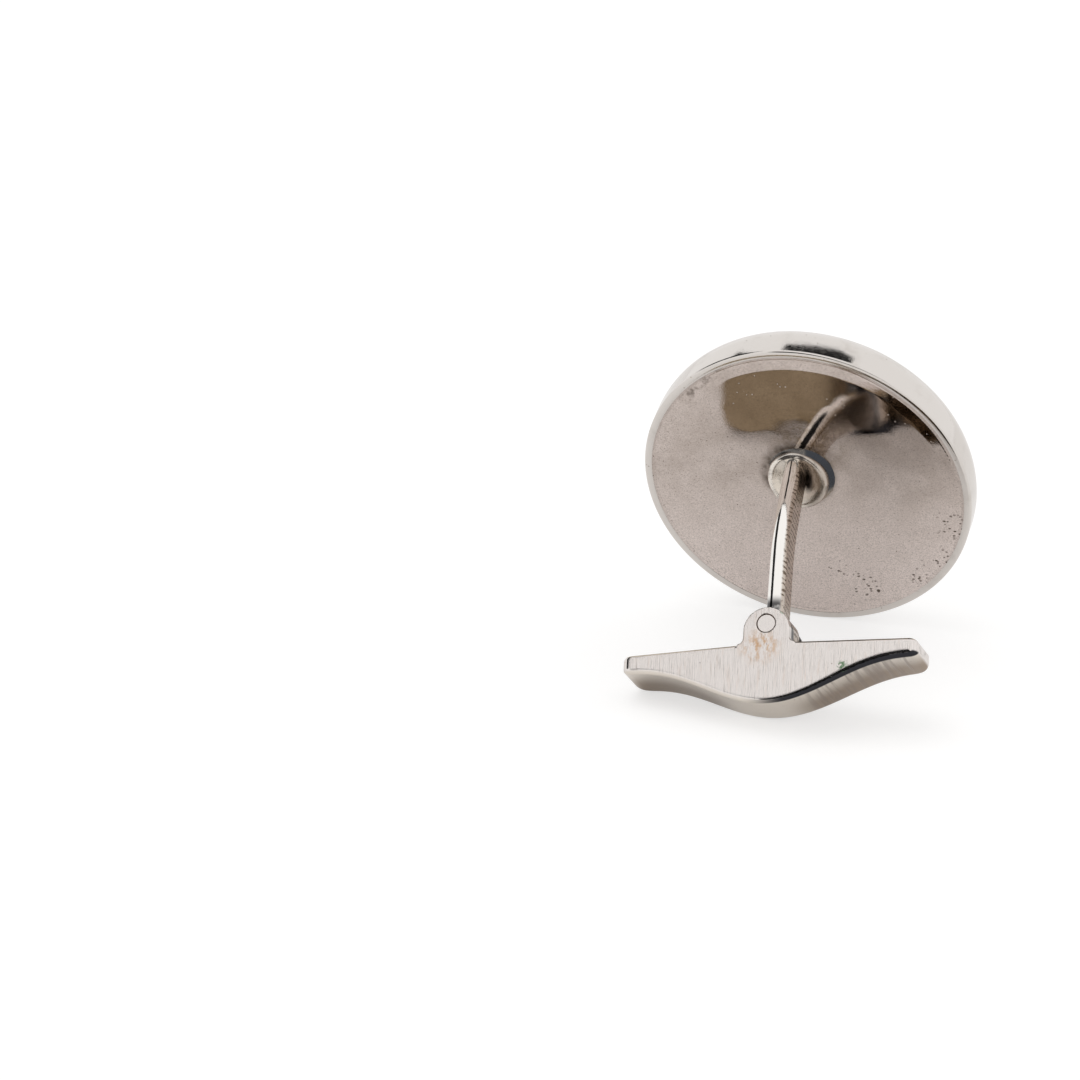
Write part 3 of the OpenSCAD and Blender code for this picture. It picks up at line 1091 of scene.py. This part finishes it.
@dataclass
class Head:
    """Hollow head: front dome with its rim, back plate and the solder between them.

    Sizes are in millimetres. The wall is straight over wall_h and turns by the radius roll into
    the dome, whose radius is dome. The back plate lies plate_drop below the rim. Its hollow, of
    the radius dish, runs from the level spot pad_r to the flat band band_w, and band_y is where
    the record's cuff_band sits on it. dents are waves round the wall, plate_waves are each a
    height, a turn for each millimetre of X and of Y, and a shift, and calm_edge and calm_foot
    are the distances from the axis between which those grow.
    """

    radius: float = 10.0
    wall_h: float = 1.3
    roll: float = 2.3
    dome: float = 50.0
    shell: float = 0.8
    rim_w: float = 0.45
    rim_round: float = 0.14
    plate_t: float = 0.95
    plate_drop: float = 0.06
    dish: float = 160.0
    band_w: float = 0.9
    band_y: float = 9.0
    pad_r: float = 3.0
    lip_ease: float = 0.02
    lip_drop: float = 0.012
    seam_w: float = 0.14
    seam_tuck: Span = (0.05, 0.03)
    seam_edge: Span = (0.04, 0.001)
    seam_ease: float = 0.002
    gap: float = 0.015
    dents: tuple[Point, ...] = ((0.012, 3, 0.7), (0.008, 7, 2.1))
    dents_h: float = 0.6
    plate_waves: tuple[tuple[float, float, float, float], ...] = (
        (0.006, 0.9, 1.3, 0.0),
        (0.004, 1.7, -0.8, 1.0),
    )
    calm_edge: Span = (8.4, 6.4)
    calm_foot: Span = (2.6, 4.1)
    grid: float = 0.075
    steps: int = 256
    dome_steps: int = 40
    roll_steps: int = 24
    lip_steps: int = 6

    def build(self) -> None:
        """Makes and dresses the three pieces."""
        placement = head_placement()
        silver = Silver().material(placement)
        Bench.place(self.front(), placement, Body.HEAD, Slot.POLISHED, silver, ["front_dome"])
        cast = CastSilver().material(placement)
        Bench.place(self.plate(), placement, Body.HEAD, Slot.BACK, cast, ["back_plate"])
        Bench.place(self.seam(), placement, Body.HEAD, Slot.SOLDER, cast, ["rim_solder"])

    def bowl(self, inset: float) -> Outline:
        """Draws the outside of the shell from the middle of the front to the wall's top.

        Args:
            inset: Distance inside the true outside.

        Returns:
            Points as distance from the axis and height.
        """
        dome, roll = self.dome - inset, self.roll - inset
        from_axis = self.radius - self.roll
        dome_z = -self.wall_h + math.sqrt((self.dome - self.roll) ** 2 - from_axis**2)
        meet = math.degrees(math.asin(from_axis / (self.dome - self.roll)))
        return [
            *arc((0, dome_z), dome, -90, -90 + meet, self.dome_steps),
            *arc((from_axis, -self.wall_h), roll, -90 + meet, 0, self.roll_steps)[1:],
        ]

    def front(self) -> bpy.types.Object:
        """Spins the front dome, a closed shell with its seat for the back plate.

        Returns:
            The front dome.
        """
        seat = self.radius - self.rim_w
        under = -self.plate_drop - self.plate_t
        corner = (self.radius - self.rim_round, -self.rim_round)
        lip = arc(corner, self.rim_round, 0, 90, self.lip_steps)
        inner = [(r, min(z, under)) for r, z in self.bowl(self.shell)]
        outline = [*self.bowl(0), *lip, (seat + self.lip_ease, 0), (seat, -self.lip_drop), (seat, under)]
        outline += [p for p in reversed(inner) if p[0] < seat]
        piece = Bench.lathe("head_front", outline, self.steps, closed=False)
        Bench.reshape(piece, self.hand_made)
        return piece

    def hand_made(self, places: np.ndarray) -> np.ndarray:
        """Gives the spun shell the faint waves of handwork.

        Args:
            places: Vertices as rows.

        Returns:
            The moved vertices.
        """
        angle, away = polar(places)
        share = ramp(away, self.radius / 2, self.radius) * ramp(places[:, 2], 0, -self.dents_h)
        places[:, :2] *= (1 - np.abs(ripple(angle, self.dents) * share) / self.radius)[:, None]
        return places

    def level(self, away: np.ndarray) -> np.ndarray:
        """Works out the back plate's shallow hollow.

        Args:
            away: Distances from the head's axis.

        Returns:
            The plate's height at each distance.
        """
        band_in = self.radius - self.rim_w - self.gap - self.band_w
        bowl = (band_in**2 - np.clip(away, self.pad_r, band_in) ** 2) / (2 * self.dish)
        return -self.plate_drop - bowl

    def plate(self) -> bpy.types.Object:
        """Makes the back plate, with its hollow, its slow waves and its groove for the solder.

        Returns:
            The back plate.
        """
        edge = self.radius - self.rim_w - self.gap
        count = int(2 * edge / self.grid)
        sides = {"x_subdivisions": count, "y_subdivisions": count, "size": 2 * edge}
        piece = Bench.start("back_plate_cast", bpy.ops.mesh.primitive_grid_add, **sides)
        bpy.ops.object.mode_set(mode="EDIT")
        Bench.select(piece, lambda p: p.xy.length > edge - self.grid)
        bpy.ops.mesh.delete(type="VERT")
        bpy.ops.mesh.select_all(action="DESELECT")
        bpy.ops.mesh.select_non_manifold()
        bpy.ops.mesh.extrude_region_move()
        mesh = bmesh.from_edit_mesh(piece.data)
        for vertex in (v for v in mesh.verts if v.select):
            vertex.co.xy = vertex.co.xy.normalized() * edge
        bmesh.update_edit_mesh(piece.data)
        bpy.ops.mesh.extrude_region_move()
        bpy.ops.transform.translate(value=(0, 0, -self.plate_t))
        bpy.ops.mesh.edge_face_add()
        Bench.close()
        Bench.reshape(piece, self.cast)
        return piece

    def cast(self, places: np.ndarray) -> np.ndarray:
        """Presses the hollow, the slow waves and the groove into the plate's upper face.

        Args:
            places: Vertices as rows.

        Returns:
            The moved vertices.
        """
        upper = places[:, 2] > -self.plate_t / 2
        away = polar(places)[1]
        x, y = places[:, 0], places[:, 1]
        waves = sum(h * np.sin(a * x + b * y + shift) for h, a, b, shift in self.plate_waves)
        calm = ramp(away, *self.calm_edge) * ramp(away, *self.calm_foot)
        places[upper, 2] = (self.level(away) + np.minimum(waves, 0) * calm)[upper]
        seam = np.clip(away - (self.radius - self.rim_w - self.gap - self.seam_w), 0, self.seam_w)
        places[upper, 2] -= seam[upper]
        places[~upper, 2] = -self.plate_drop - self.plate_t
        return places

    def seam(self) -> bpy.types.Object:
        """Spins the solder in the groove between the back plate and the rim.

        Returns:
            The line of solder.
        """
        edge = self.radius - self.rim_w
        inner = edge - self.seam_w
        outer = edge - self.seam_ease
        top = -self.plate_drop
        outline = [
            (inner - self.seam_tuck[0], top - self.seam_tuck[1]),
            (inner - self.seam_edge[0], top + self.seam_edge[1]),
            (edge - self.seam_w / 2, top + self.lip_drop),
            (outer, -self.lip_drop),
            (outer, top - self.seam_w),
        ]
        return Bench.lathe("rim_solder_line", outline, self.steps)


@dataclass
class Post:
    """Curved post with its eye, the collar round its foot and the solder.

    Sizes are in millimetres, lean, tilt and top_turn in degrees, and eye_bevel_angle in radians.
    The post stands straight from base to foot_h, bends by lean with the radius bend and runs on
    over neck. back is how far the eye's middle lies behind the pin's, along the pin. The foot is
    set out by foot_out, which has gone at the height foot_rise. collar is the radius of the
    ring's middle line, wall its thickness, and cup and cup_z the radius and height of its cup's
    bottom. Each of solder_shares is a share of the solder's width and one of its height.
    """

    foot: tuple[float, float] = (-0.5, 0.6)
    width: float = 1.06
    depth: float = 1.9
    outer_round: float = 0.515
    inner_round: float = 0.12
    back: float = 0.3
    foot_h: float = 1.65
    bend: float = 9.4
    lean: float = 31.5
    neck: float = 4.4
    eye: float = 1.15
    bore: float = 0.59
    base: float = -0.26
    collar_at: Point = (-0.42, 0.66, -0.265)
    collar: float = 1.56
    wall: float = 0.56
    collar_h: float = 0.78
    tilt: float = 12.0
    cup: float = 0.3
    cup_z: float = 0.12
    ridge: float = 0.35
    foot_out: float = 0.7
    foot_rise: float = 4.5
    ring_waves: tuple[Point, ...] = (
        (0.07, 1, 0.6 + QUARTER),
        (0.04, 2, 1.1 + QUARTER),
        (0.015, 5, 0.0),
    )
    top_waves: tuple[Point, ...] = ((0.05, 1, 1.2 + QUARTER), (0.04, 2, 0.4))
    ridge_turn: float = 0.3
    solder: float = 0.2
    solder_shares: tuple[Span, ...] = ((1.0, 0.0), (0.6, 0.2), (0.2, 0.5), (-0.5, 1.0))
    solder_waves: tuple[Point, ...] = ((0.16, 1, 0.1 + QUARTER), (0.03, 3, 0.0))
    solder_start: float = 0.1
    cup_run: float = 1.0
    top_turn: float = 130.0
    eye_bevel: float = 0.08
    eye_bevel_angle: float = 1.0
    bore_share: float = 3.0
    corner_steps: tuple[int, ...] = (12, 12, 4, 4)
    bend_steps: int = 32
    drum_steps: int = 96
    bevel_steps: int = 3
    top_steps: int = 16
    ring_steps: int = 128
    voxel: float = 0.04

    def build(self) -> None:
        """Makes and dresses the three pieces."""
        placement = head_placement()
        filed = FiledSilver().material(placement)
        Bench.place(self.blade(), placement, Body.HEAD, Slot.POST, filed, ["post"])
        collar = CollarSilver().material(placement)
        Bench.place(self.ring(), placement, Body.HEAD, Slot.POLISHED, collar, ["foot_collar"])
        solder = Solder().material(placement)
        Bench.place(self.fillet(), placement, Body.HEAD, Slot.SOLDER, solder, ["foot_solder"])

    def section(self) -> Outline:
        """Draws the post's section, with its half-round outer side towards +Y.

        Returns:
            Points across the post and along its depth, anticlockwise.
        """
        x, y = self.width / 2, self.depth / 2
        radii = (self.outer_round, self.outer_round, self.inner_round, self.inner_round)
        return rounded_box((x, y, -x, -y), radii, self.corner_steps)

    def blade(self) -> bpy.types.Object:
        """Draws the section up, spins it through the bend and adds the bored eye.

        Returns:
            The post.
        """
        pin = head_placement().matrix().inverted() @ Vector(frame["joints"][0]["pos_m"])
        lean = math.radians(self.lean)
        eye = pin - self.back * Vector((0, math.cos(lean), math.sin(lean)))
        foot = [(x, self.foot[1] + y, self.base) for x, y in self.section()]
        piece = Bench.trace("post_blade", foot, Fill.FACE)
        rise = (0, 0, self.foot_h - self.base)
        bpy.ops.mesh.extrude_region_move(TRANSFORM_OT_translate={"value": rise})
        middle = (0, self.foot[1] - self.bend, self.foot_h)
        bpy.ops.mesh.spin(steps=self.bend_steps, angle=-lean, center=middle, axis=X_WAY)
        tip = Vector((0, -math.sin(lean), math.cos(lean))) * self.neck
        bpy.ops.mesh.extrude_region_move(TRANSFORM_OT_translate={"value": tip})
        Bench.close()
        Bench.reshape(piece, lambda places: self.lean_in(places, pin))
        across = Euler((lean - QUARTER, 0, 0))
        for place, radius, depth, way in (
            (eye, self.eye, self.depth, Shaping.JOIN),
            (pin, self.bore, self.bore_share * self.depth, Shaping.CUT),
        ):
            sizes = {"vertices": self.drum_steps, "radius": radius, "depth": depth}
            spot = {"location": place, "rotation": across}
            drum = Bench.start("drum", bpy.ops.mesh.primitive_cylinder_add, **spot, **sizes)
            if way is Shaping.JOIN:
                edges = {"limit_method": "ANGLE", "angle_limit": self.eye_bevel_angle}
                Bench.modify(drum, "BEVEL", width=self.eye_bevel, segments=self.bevel_steps, **edges)
            Bench.combine(piece, drum, way)
        Bench.modify(piece, "REMESH", mode="VOXEL", voxel_size=self.voxel, adaptivity=0.0)
        return piece

    def lean_in(self, places: np.ndarray, pin: Vector) -> np.ndarray:
        """Leans the post sideways, and sets its foot against the collar's upper side.

        Args:
            places: Vertices as rows.
            pin: The pin's middle in the head's frame.

        Returns:
            The moved vertices.
        """
        places[:, 0] += self.foot[0] * (pin.z - places[:, 2]) / pin.z
        places[:, 1] += self.foot_out * ramp(places[:, 2], self.foot_rise, 0) ** 2
        return places

    def ring(self) -> bpy.types.Object:
        """Spins the collar: a tilted wall with a round top, a little uneven.

        Returns:
            The collar.
        """
        half = self.wall / 2
        outline = [
            (self.collar + half, -self.collar_h),
            *arc((self.collar, self.collar_h - half), half, 0, self.top_turn, self.top_steps),
            (self.cup, self.cup_z),
            (self.cup, -self.collar_h),
        ]
        piece = Bench.lathe("foot_collar_ring", outline, self.ring_steps)
        Bench.reshape(piece, self.uneven)
        self.trim(piece)
        return piece

    def trim(self, piece: bpy.types.Object) -> None:
        """Cuts off what lies below the back plate's level spot.

        Args:
            piece: Piece in the head's frame.
        """
        Bench.pick(piece)
        bpy.ops.object.mode_set(mode="EDIT")
        bpy.ops.mesh.select_all(action="SELECT")
        level = (0, 0, self.collar_at[2])
        bpy.ops.mesh.bisect(plane_co=level, plane_no=Z_WAY, use_fill=True, clear_inner=True)
        Bench.close()

    def uneven(self, places: np.ndarray) -> np.ndarray:
        """Makes the ring uneven in width and height, tilts it and moves it to the foot.

        Args:
            places: Vertices of the ring about its own axis, as rows.

        Returns:
            The moved vertices, in the head's frame.
        """
        angle, away = polar(places)
        half = self.wall / 2
        swell = ripple(angle, self.ring_waves) * ramp(away, self.collar, self.collar + half)
        inside = ramp(away, self.collar, self.collar - half) * ramp(away, self.cup, self.cup + self.cup_run)
        ridge = self.ridge * inside * np.maximum(np.cos(angle + self.ridge_turn), 0)
        places[:, :2] *= (1 + (swell - ridge) / away)[:, None]
        places[:, 2] += ramp(places[:, 2], 0, self.collar_h) * ripple(angle, self.top_waves)
        tilt = math.radians(self.tilt)
        y = places[:, 1] * math.cos(tilt) + places[:, 2] * math.sin(tilt)
        places[:, 2] = places[:, 2] * math.cos(tilt) - places[:, 1] * math.sin(tilt)
        places[:, 1] = y
        return places + np.array(self.collar_at)

    def fillet(self) -> bpy.types.Object:
        """Spins the solder that has run out round the collar, wider on its right side.

        Returns:
            The solder.
        """
        out = self.collar + self.wall / 2
        high = self.collar_h / 2
        steps = [(out + self.solder * wide, high * share) for wide, share in self.solder_shares]
        outline = [(self.collar, 0), *steps, (self.collar, high)]
        piece = Bench.lathe("foot_solder_fillet", outline, self.ring_steps)
        Bench.reshape(piece, self.run_out)
        return piece

    def run_out(self, places: np.ndarray) -> np.ndarray:
        """Moves the fillet to the foot and makes its edge uneven.

        Args:
            places: Vertices of the fillet about its own axis, as rows.

        Returns:
            The moved vertices, in the head's frame.
        """
        angle, away = polar(places)
        start = self.collar + self.wall / 2 - self.solder_start
        spread = ripple(angle, self.solder_waves) * ramp(away, start, start + self.solder)
        places[:, :2] *= (1 + spread / away)[:, None]
        return places + np.array(self.collar_at)


@dataclass
class Toggle:
    """Toggle bar with its forked ears, and the pin that it swivels on.

    Sizes are in millimetres. The bar's middle lies side beside the pin, and top_mid, top_tip,
    keel and under_tip are how far below the pin its upper and lower sides run, at the middle and
    at the tips. Names that end in round are radii of its edges. The ears are round to ear and
    far_ear, ear_drop below the pin. fork is the width of the throat between them, slot its radius
    and back how far its middle lies behind the bar's.
    """

    half: float = 9.0
    side: float = 0.2
    depth: float = 3.6
    top_mid: float = 1.15
    top_tip: float = 1.45
    keel: float = 4.9
    under_tip: float = 2.55
    keel_power: float = 1.3
    tip_round: float = 0.55
    tip_back: float = 1.1
    tip_flat: float = 0.6
    upper_round: float = 0.26
    lower_round: float = 0.3
    right_round: float = 0.14
    far_round: float = 0.45
    keel_round: float = 0.9
    least_round: float = 0.02
    ear: float = 1.4
    far_ear: float = 1.25
    ear_drop: float = 0.4
    ear_blend: float = 0.35
    ear_sink: float = 0.05
    ear_root: float = 0.6
    fork: float = 2.0
    back: float = 0.3
    slot: float = 1.27
    pin: float = 1.1
    pin_bevel: float = 0.035
    gap: float = 0.02
    stations: int = 96
    tip_stations: int = 12
    corner_steps: int = 8
    ear_steps: int = 40
    bore_steps: int = 128
    pin_steps: int = 64
    sharp: float = 60.0
    voxel: float = 0.054

    def build(self) -> None:
        """Makes and dresses the two pieces."""
        placement = hinge_placement(turned=True)
        brushed = BrushedSilver().material(placement)
        Bench.place(
            self.bar(),
            placement,
            Body.TOGGLE,
            Slot.BRUSHED,
            brushed,
            ["toggle_bar"],
            sharp=self.sharp,
        )
        pin = PinSilver().material(placement)
        Bench.place(self.rivet(), placement, Body.TOGGLE, Slot.PIN, pin, ["hinge_pin"])

    def swell(self, x: float) -> float:
        """Returns the share of the way from the tips' underside to the keel."""
        return ((1 + math.cos(math.pi * min(1.0, abs(x) / self.half))) / 2) ** self.keel_power

    def draw_in(self, x: float, radius: float) -> float:
        """Returns how far a round of this radius at the tips draws the bar in at x."""
        past = min(radius, max(0.0, abs(x) - self.half + radius))
        return radius - math.sqrt(radius**2 - past**2)

    def section(self, x: float) -> Outline:
        """Draws the bar's rounded section at x.

        Args:
            x: Place along the bar.

        Returns:
            Points up the face and along the pin, anticlockwise.
        """
        swell = self.swell(x)
        inset = self.draw_in(x, self.tip_round)
        drawn = self.tip_flat * inset
        top = -self.top_mid - (self.top_tip - self.top_mid) * abs(x) / self.half - drawn
        low = -self.under_tip - (self.keel - self.under_tip) * swell + drawn
        front = self.depth / 2 - inset
        back = self.draw_in(x, self.tip_back) - self.depth / 2
        far = self.far_round + (self.keel_round - self.far_round) * swell**2
        front_round = self.lower_round + self.right_round * ramp(x, 0, self.half / 2)
        rounds = (self.upper_round, front_round, far)
        rt, rf, rb = (max(r - drawn, self.least_round) for r in rounds)
        return rounded_box((top, front, low, back), (rt, rf, rb, rt), [self.corner_steps] * 4)

    def slice_at(self, x: float) -> list[Point]:
        """Returns the section at x as places in the toggle's frame."""
        return [(self.side + x, y, z) for y, z in self.section(x)]

    def bar(self) -> bpy.types.Object:
        """Draws a section along the toggle, and adds the ears, the throat and the pin's bore.

        Returns:
            The bar.
        """
        flank = self.half - self.tip_back
        turns = [QUARTER * (i + 1) / self.tip_stations for i in range(self.tip_stations)]
        rounded = [flank + self.tip_back * math.sin(turn) for turn in turns]
        straight = [flank * (2 * i / self.stations - 1) for i in range(self.stations + 1)]
        first, *others = [*(-x for x in reversed(rounded)), *straight, *rounded]
        piece = Bench.trace("toggle_bar_body", self.slice_at(first), Fill.FACE)
        for x in others:
            bpy.ops.mesh.extrude_region_move()
            Bench.put(piece, self.slice_at(x))
        Bench.close()
        near, far = self.fork / 2 - self.back, -self.fork / 2 - self.back
        Bench.combine(piece, self.ear_plate(self.ear, near, self.depth / 2), Shaping.JOIN)
        Bench.combine(piece, self.ear_plate(self.far_ear, -self.depth / 2, far), Shaping.JOIN)
        for radius, low, high in (
            (self.slot, far, near),
            (self.pin / 2 + self.gap, -self.depth, self.depth),
        ):
            sizes = {"vertices": self.bore_steps, "radius": radius, "depth": high - low}
            middle = (0, 0, (low + high) / 2)
            drum = Bench.start("drum", bpy.ops.mesh.primitive_cylinder_add, location=middle, **sizes)
            Bench.combine(piece, drum, Shaping.CUT)
        Bench.modify(piece, "REMESH", mode="VOXEL", voxel_size=self.voxel, adaptivity=0.0)
        return piece

    def ear_plate(self, wide: float, low: float, high: float) -> bpy.types.Object:
        """Returns one ear with its hollow blends, as a plate.

        Args:
            wide: Radius of its round top.
            low: Where it starts along the pin.
            high: Where it ends along the pin.

        Returns:
            The plate between low and high.
        """
        blend = self.ear_blend
        base = -self.top_mid - self.ear_sink
        outline = [
            *arc((0, -self.ear_drop), wide, 0, 180, self.ear_steps),
            *arc((-wide - blend, base + blend), blend, 0, -90, self.corner_steps),
            (-wide - blend, base - self.ear_root),
            (wide + blend, base - self.ear_root),
            *arc((wide + blend, base + blend), blend, -90, -180, self.corner_steps),
        ]
        piece = Bench.trace("ear", [(x, y, low) for x, y in outline], Fill.FACE)
        bpy.ops.mesh.extrude_region_move(TRANSFORM_OT_translate={"value": (0, 0, high - low)})
        Bench.close()
        return piece

    def rivet(self) -> bpy.types.Object:
        """Spins the pin, with the fine bevel at each end that its filing left.

        Returns:
            The pin.
        """
        radius, end = self.pin / 2, self.depth / 2
        inner, short = radius - self.pin_bevel, end - self.pin_bevel
        half = [(radius, short), (inner, end), (0, end)]
        outline = [*((r, -z) for r, z in reversed(half)), *half]
        return Bench.lathe("hinge_rivet", outline, self.pin_steps, closed=False)


@dataclass(frozen=True)
class Lamp:
    """A square soft lamp that faces the object.

    place and size are in metres, and power is in watts.
    """

    name: str
    place: Point
    size: float
    power: float

    def hang(self) -> None:
        """Adds the lamp, which glosses don't show."""
        data = bpy.data.lights.new(self.name, "AREA")
        data.size = self.size
        data.energy = self.power
        lamp = bpy.data.objects.new(self.name, data)
        lamp.location = self.place
        lamp.visible_glossy = False
        lamp.rotation_euler = (-Vector(self.place)).to_track_quat("-Z", "Y").to_euler()
        bpy.context.scene.collection.objects.link(lamp)


@dataclass(frozen=True)
class Ribbon:
    """A bent dark card, the gap between two soft lamps, that only shows in gloss.

    away is its distance from the object, in metres, and path holds points as angle from the
    front, angle above the table and half of the ribbon's width, in degrees.
    """

    name: str
    away: float
    path: tuple[Point, ...]
    black: Colour = (0.012, 0.012, 0.013)
    step: float = 0.02
    parts: tuple[int, int] = (64, 8)

    def hang(self) -> None:
        """Adds the card, which only glosses show."""
        long, wide = self.parts
        sides = {"x_subdivisions": long, "y_subdivisions": wide, "size": 2}
        card = Bench.start(self.name, bpy.ops.mesh.primitive_grid_add, **sides)
        Bench.reshape(card, self.bend)
        material = bpy.data.materials.new(self.name)
        material.use_nodes = True
        shader = material.node_tree.nodes["Principled BSDF"]
        shader.inputs["Base Color"].default_value = (*self.black, 1)
        shader.inputs["Roughness"].default_value = 1.0
        card.data.materials.append(material)
        card.visible_camera = card.visible_diffuse = card.visible_shadow = False
        card.visible_transmission = card.visible_volume_scatter = False

    def knots(self, share: np.ndarray) -> list[np.ndarray]:
        """Follows the path from knot to knot.

        Args:
            share: Shares of the ribbon's length.

        Returns:
            Both angles and the half width at each share, in radians.
        """
        knots = np.radians(np.array(self.path, dtype=float))
        stops = np.linspace(0, 1, len(knots))
        return [np.interp(share, stops, column) for column in knots.T]

    def middle(self, share: np.ndarray) -> np.ndarray:
        """Finds the ribbon's middle line as the object sees it.

        Args:
            share: Shares of the ribbon's length.

        Returns:
            The way in which the line lies at each share, as rows.
        """
        turn, rise, _ = self.knots(share)
        flat = np.cos(rise)
        return np.stack([flat * np.sin(turn), -flat * np.cos(turn), np.sin(rise)], 1)

    def bend(self, places: np.ndarray) -> np.ndarray:
        """Bends the flat card along the path.

        Args:
            places: Vertices of a flat card from -1 to 1, as rows.

        Returns:
            The moved vertices, in metres.
        """
        share = (places[:, 0] + 1) / 2
        before, after = np.clip(share - self.step, 0, 1), np.clip(share + self.step, 0, 1)
        centre = self.middle(share)
        across = np.cross(centre, self.middle(after) - self.middle(before))
        across /= np.linalg.norm(across, axis=1)[:, None]
        width = self.knots(share)[2] * places[:, 1]
        return self.away * (centre * np.cos(width)[:, None] + across * np.sin(width)[:, None])


@dataclass
class Studio:
    """Floor, soft lamps, dark cards and the camera.

    place and turn are the camera's, in the head's millimetres and in degrees.
    """

    lens: float = 228.0
    place: Point = (121.914, 235.413, 309.798)
    turn: Point = (-39.4506, 15.1242, -12.6836)
    clip: Span = (0.01, 20.0)
    air: float = 0.75
    floor_size: float = 4.0
    white: Colour = (0.86, 0.85, 0.84)
    floor_rough: float = 0.9
    glow: float = 1.33
    glow_share: float = 0.46
    gloss_share: float = 0.4
    lamps: tuple[Lamp, ...] = (
        Lamp("softbox", place=(-0.25, -0.1, 0.75), size=0.6, power=1.3),
        Lamp("fill", place=(0.5, 0.5, 0.6), size=0.5, power=0.8),
    )
    ribbons: tuple[Ribbon, ...] = (
        Ribbon(
            "left_gap",
            0.5,
            ((-132, 30, 1.5), (-127, 36, 5), (-112, 42, 12), (-94, 37, 15), (-78, 32, 16), (-63, 32, 14)),
        ),
        Ribbon(
            "back_gap",
            0.5,
            ((161, 58, 4), (171, 60, 6), (188, 60, 5.5), (200, 57.5, 4.5), (208, 54, 3), (214, 50, 2)),
        ),
        Ribbon("front_gap", 0.3, ((-33, 45, 3), (-20, 36, 9), (-8, 20, 15), (4, 2, 21), (6, -3, 22))),
    )

    def build(self) -> None:
        """Makes the whole studio."""
        self.world()
        self.floor()
        for thing in (*self.lamps, *self.ribbons):
            thing.hang()
        self.camera()
        bpy.context.scene.view_settings.view_transform = "Standard"

    @staticmethod
    def seen_share(nodes: Nodes, gloss: float) -> Socket:
        """Tells the rays that see the background from those that it lights.

        Args:
            nodes: Tree that the nodes go into.
            gloss: Result for rays that see the background in a gloss.

        Returns:
            1 for rays that see it straight or through glass, gloss in a gloss, and 0 for others.
        """
        path = nodes.node("ShaderNodeLightPath", {}).outputs
        mirrored = nodes.product(path["Is Glossy Ray"], gloss)
        return nodes.most(path["Is Camera Ray"], mirrored, path["Is Transmission Ray"])

    def world(self) -> None:
        """Makes the world white to the eye and in a gloss, and a plain soft light to the rest."""
        world = bpy.data.worlds.new("studio_air")
        bpy.context.scene.world = world
        world.use_nodes = True
        nodes = Nodes(world.node_tree)
        sockets = {"Value": self.seen_share(nodes, 1.0), "To Min": self.air, "To Max": 1.0}
        strength = nodes.node("ShaderNodeMapRange", sockets).outputs[0]
        background = nodes.tree.nodes["Background"]
        background.inputs["Color"].default_value = (1, 1, 1, 1)
        nodes.tree.links.new(strength, background.inputs["Strength"])

    def floor(self) -> None:
        """Makes the white table, which keeps the object's shadow."""
        table = Bench.start("table", bpy.ops.mesh.primitive_plane_add, size=self.floor_size)
        material = bpy.data.materials.new("white_table")
        material.use_nodes = True
        nodes = Nodes(material.node_tree)
        shader = nodes.tree.nodes["Principled BSDF"]
        shader.inputs["Base Color"].default_value = (*self.white, 1)
        shader.inputs["Roughness"].default_value = self.floor_rough
        glow = nodes.node("ShaderNodeEmission", {"Strength": self.glow}).outputs[0]
        share = nodes.product(self.seen_share(nodes, self.gloss_share), self.glow_share)
        mixed = nodes.node("ShaderNodeMixShader", {0: share, 1: shader.outputs[0], 2: glow}).outputs[0]
        nodes.tree.links.new(mixed, nodes.tree.nodes["Material Output"].inputs["Surface"])
        table.data.materials.append(material)

    def camera(self) -> None:
        """Sets the camera at the photograph's place and angle, both given in the head's frame."""
        head = head_placement()
        data = bpy.data.cameras.new("camera")
        data.lens = self.lens
        data.clip_start, data.clip_end = self.clip
        camera = bpy.data.objects.new("camera", data)
        camera.location = head.matrix() @ Vector(self.place)
        turn = Euler([math.radians(a) for a in self.turn]).to_matrix()
        camera.rotation_euler = (head.turn() @ turn).to_euler()
        bpy.context.scene.collection.objects.link(camera)
        bpy.context.scene.camera = camera


def main() -> None:
    """Builds the studio and the cufflink, and logs each piece's number of faces."""
    logging.basicConfig(level=logging.INFO, format="%(name)s: %(message)s")
    for part in (Studio(), Head(), Post(), Toggle()):
        part.build()


if __name__ == "__main__":
    main()
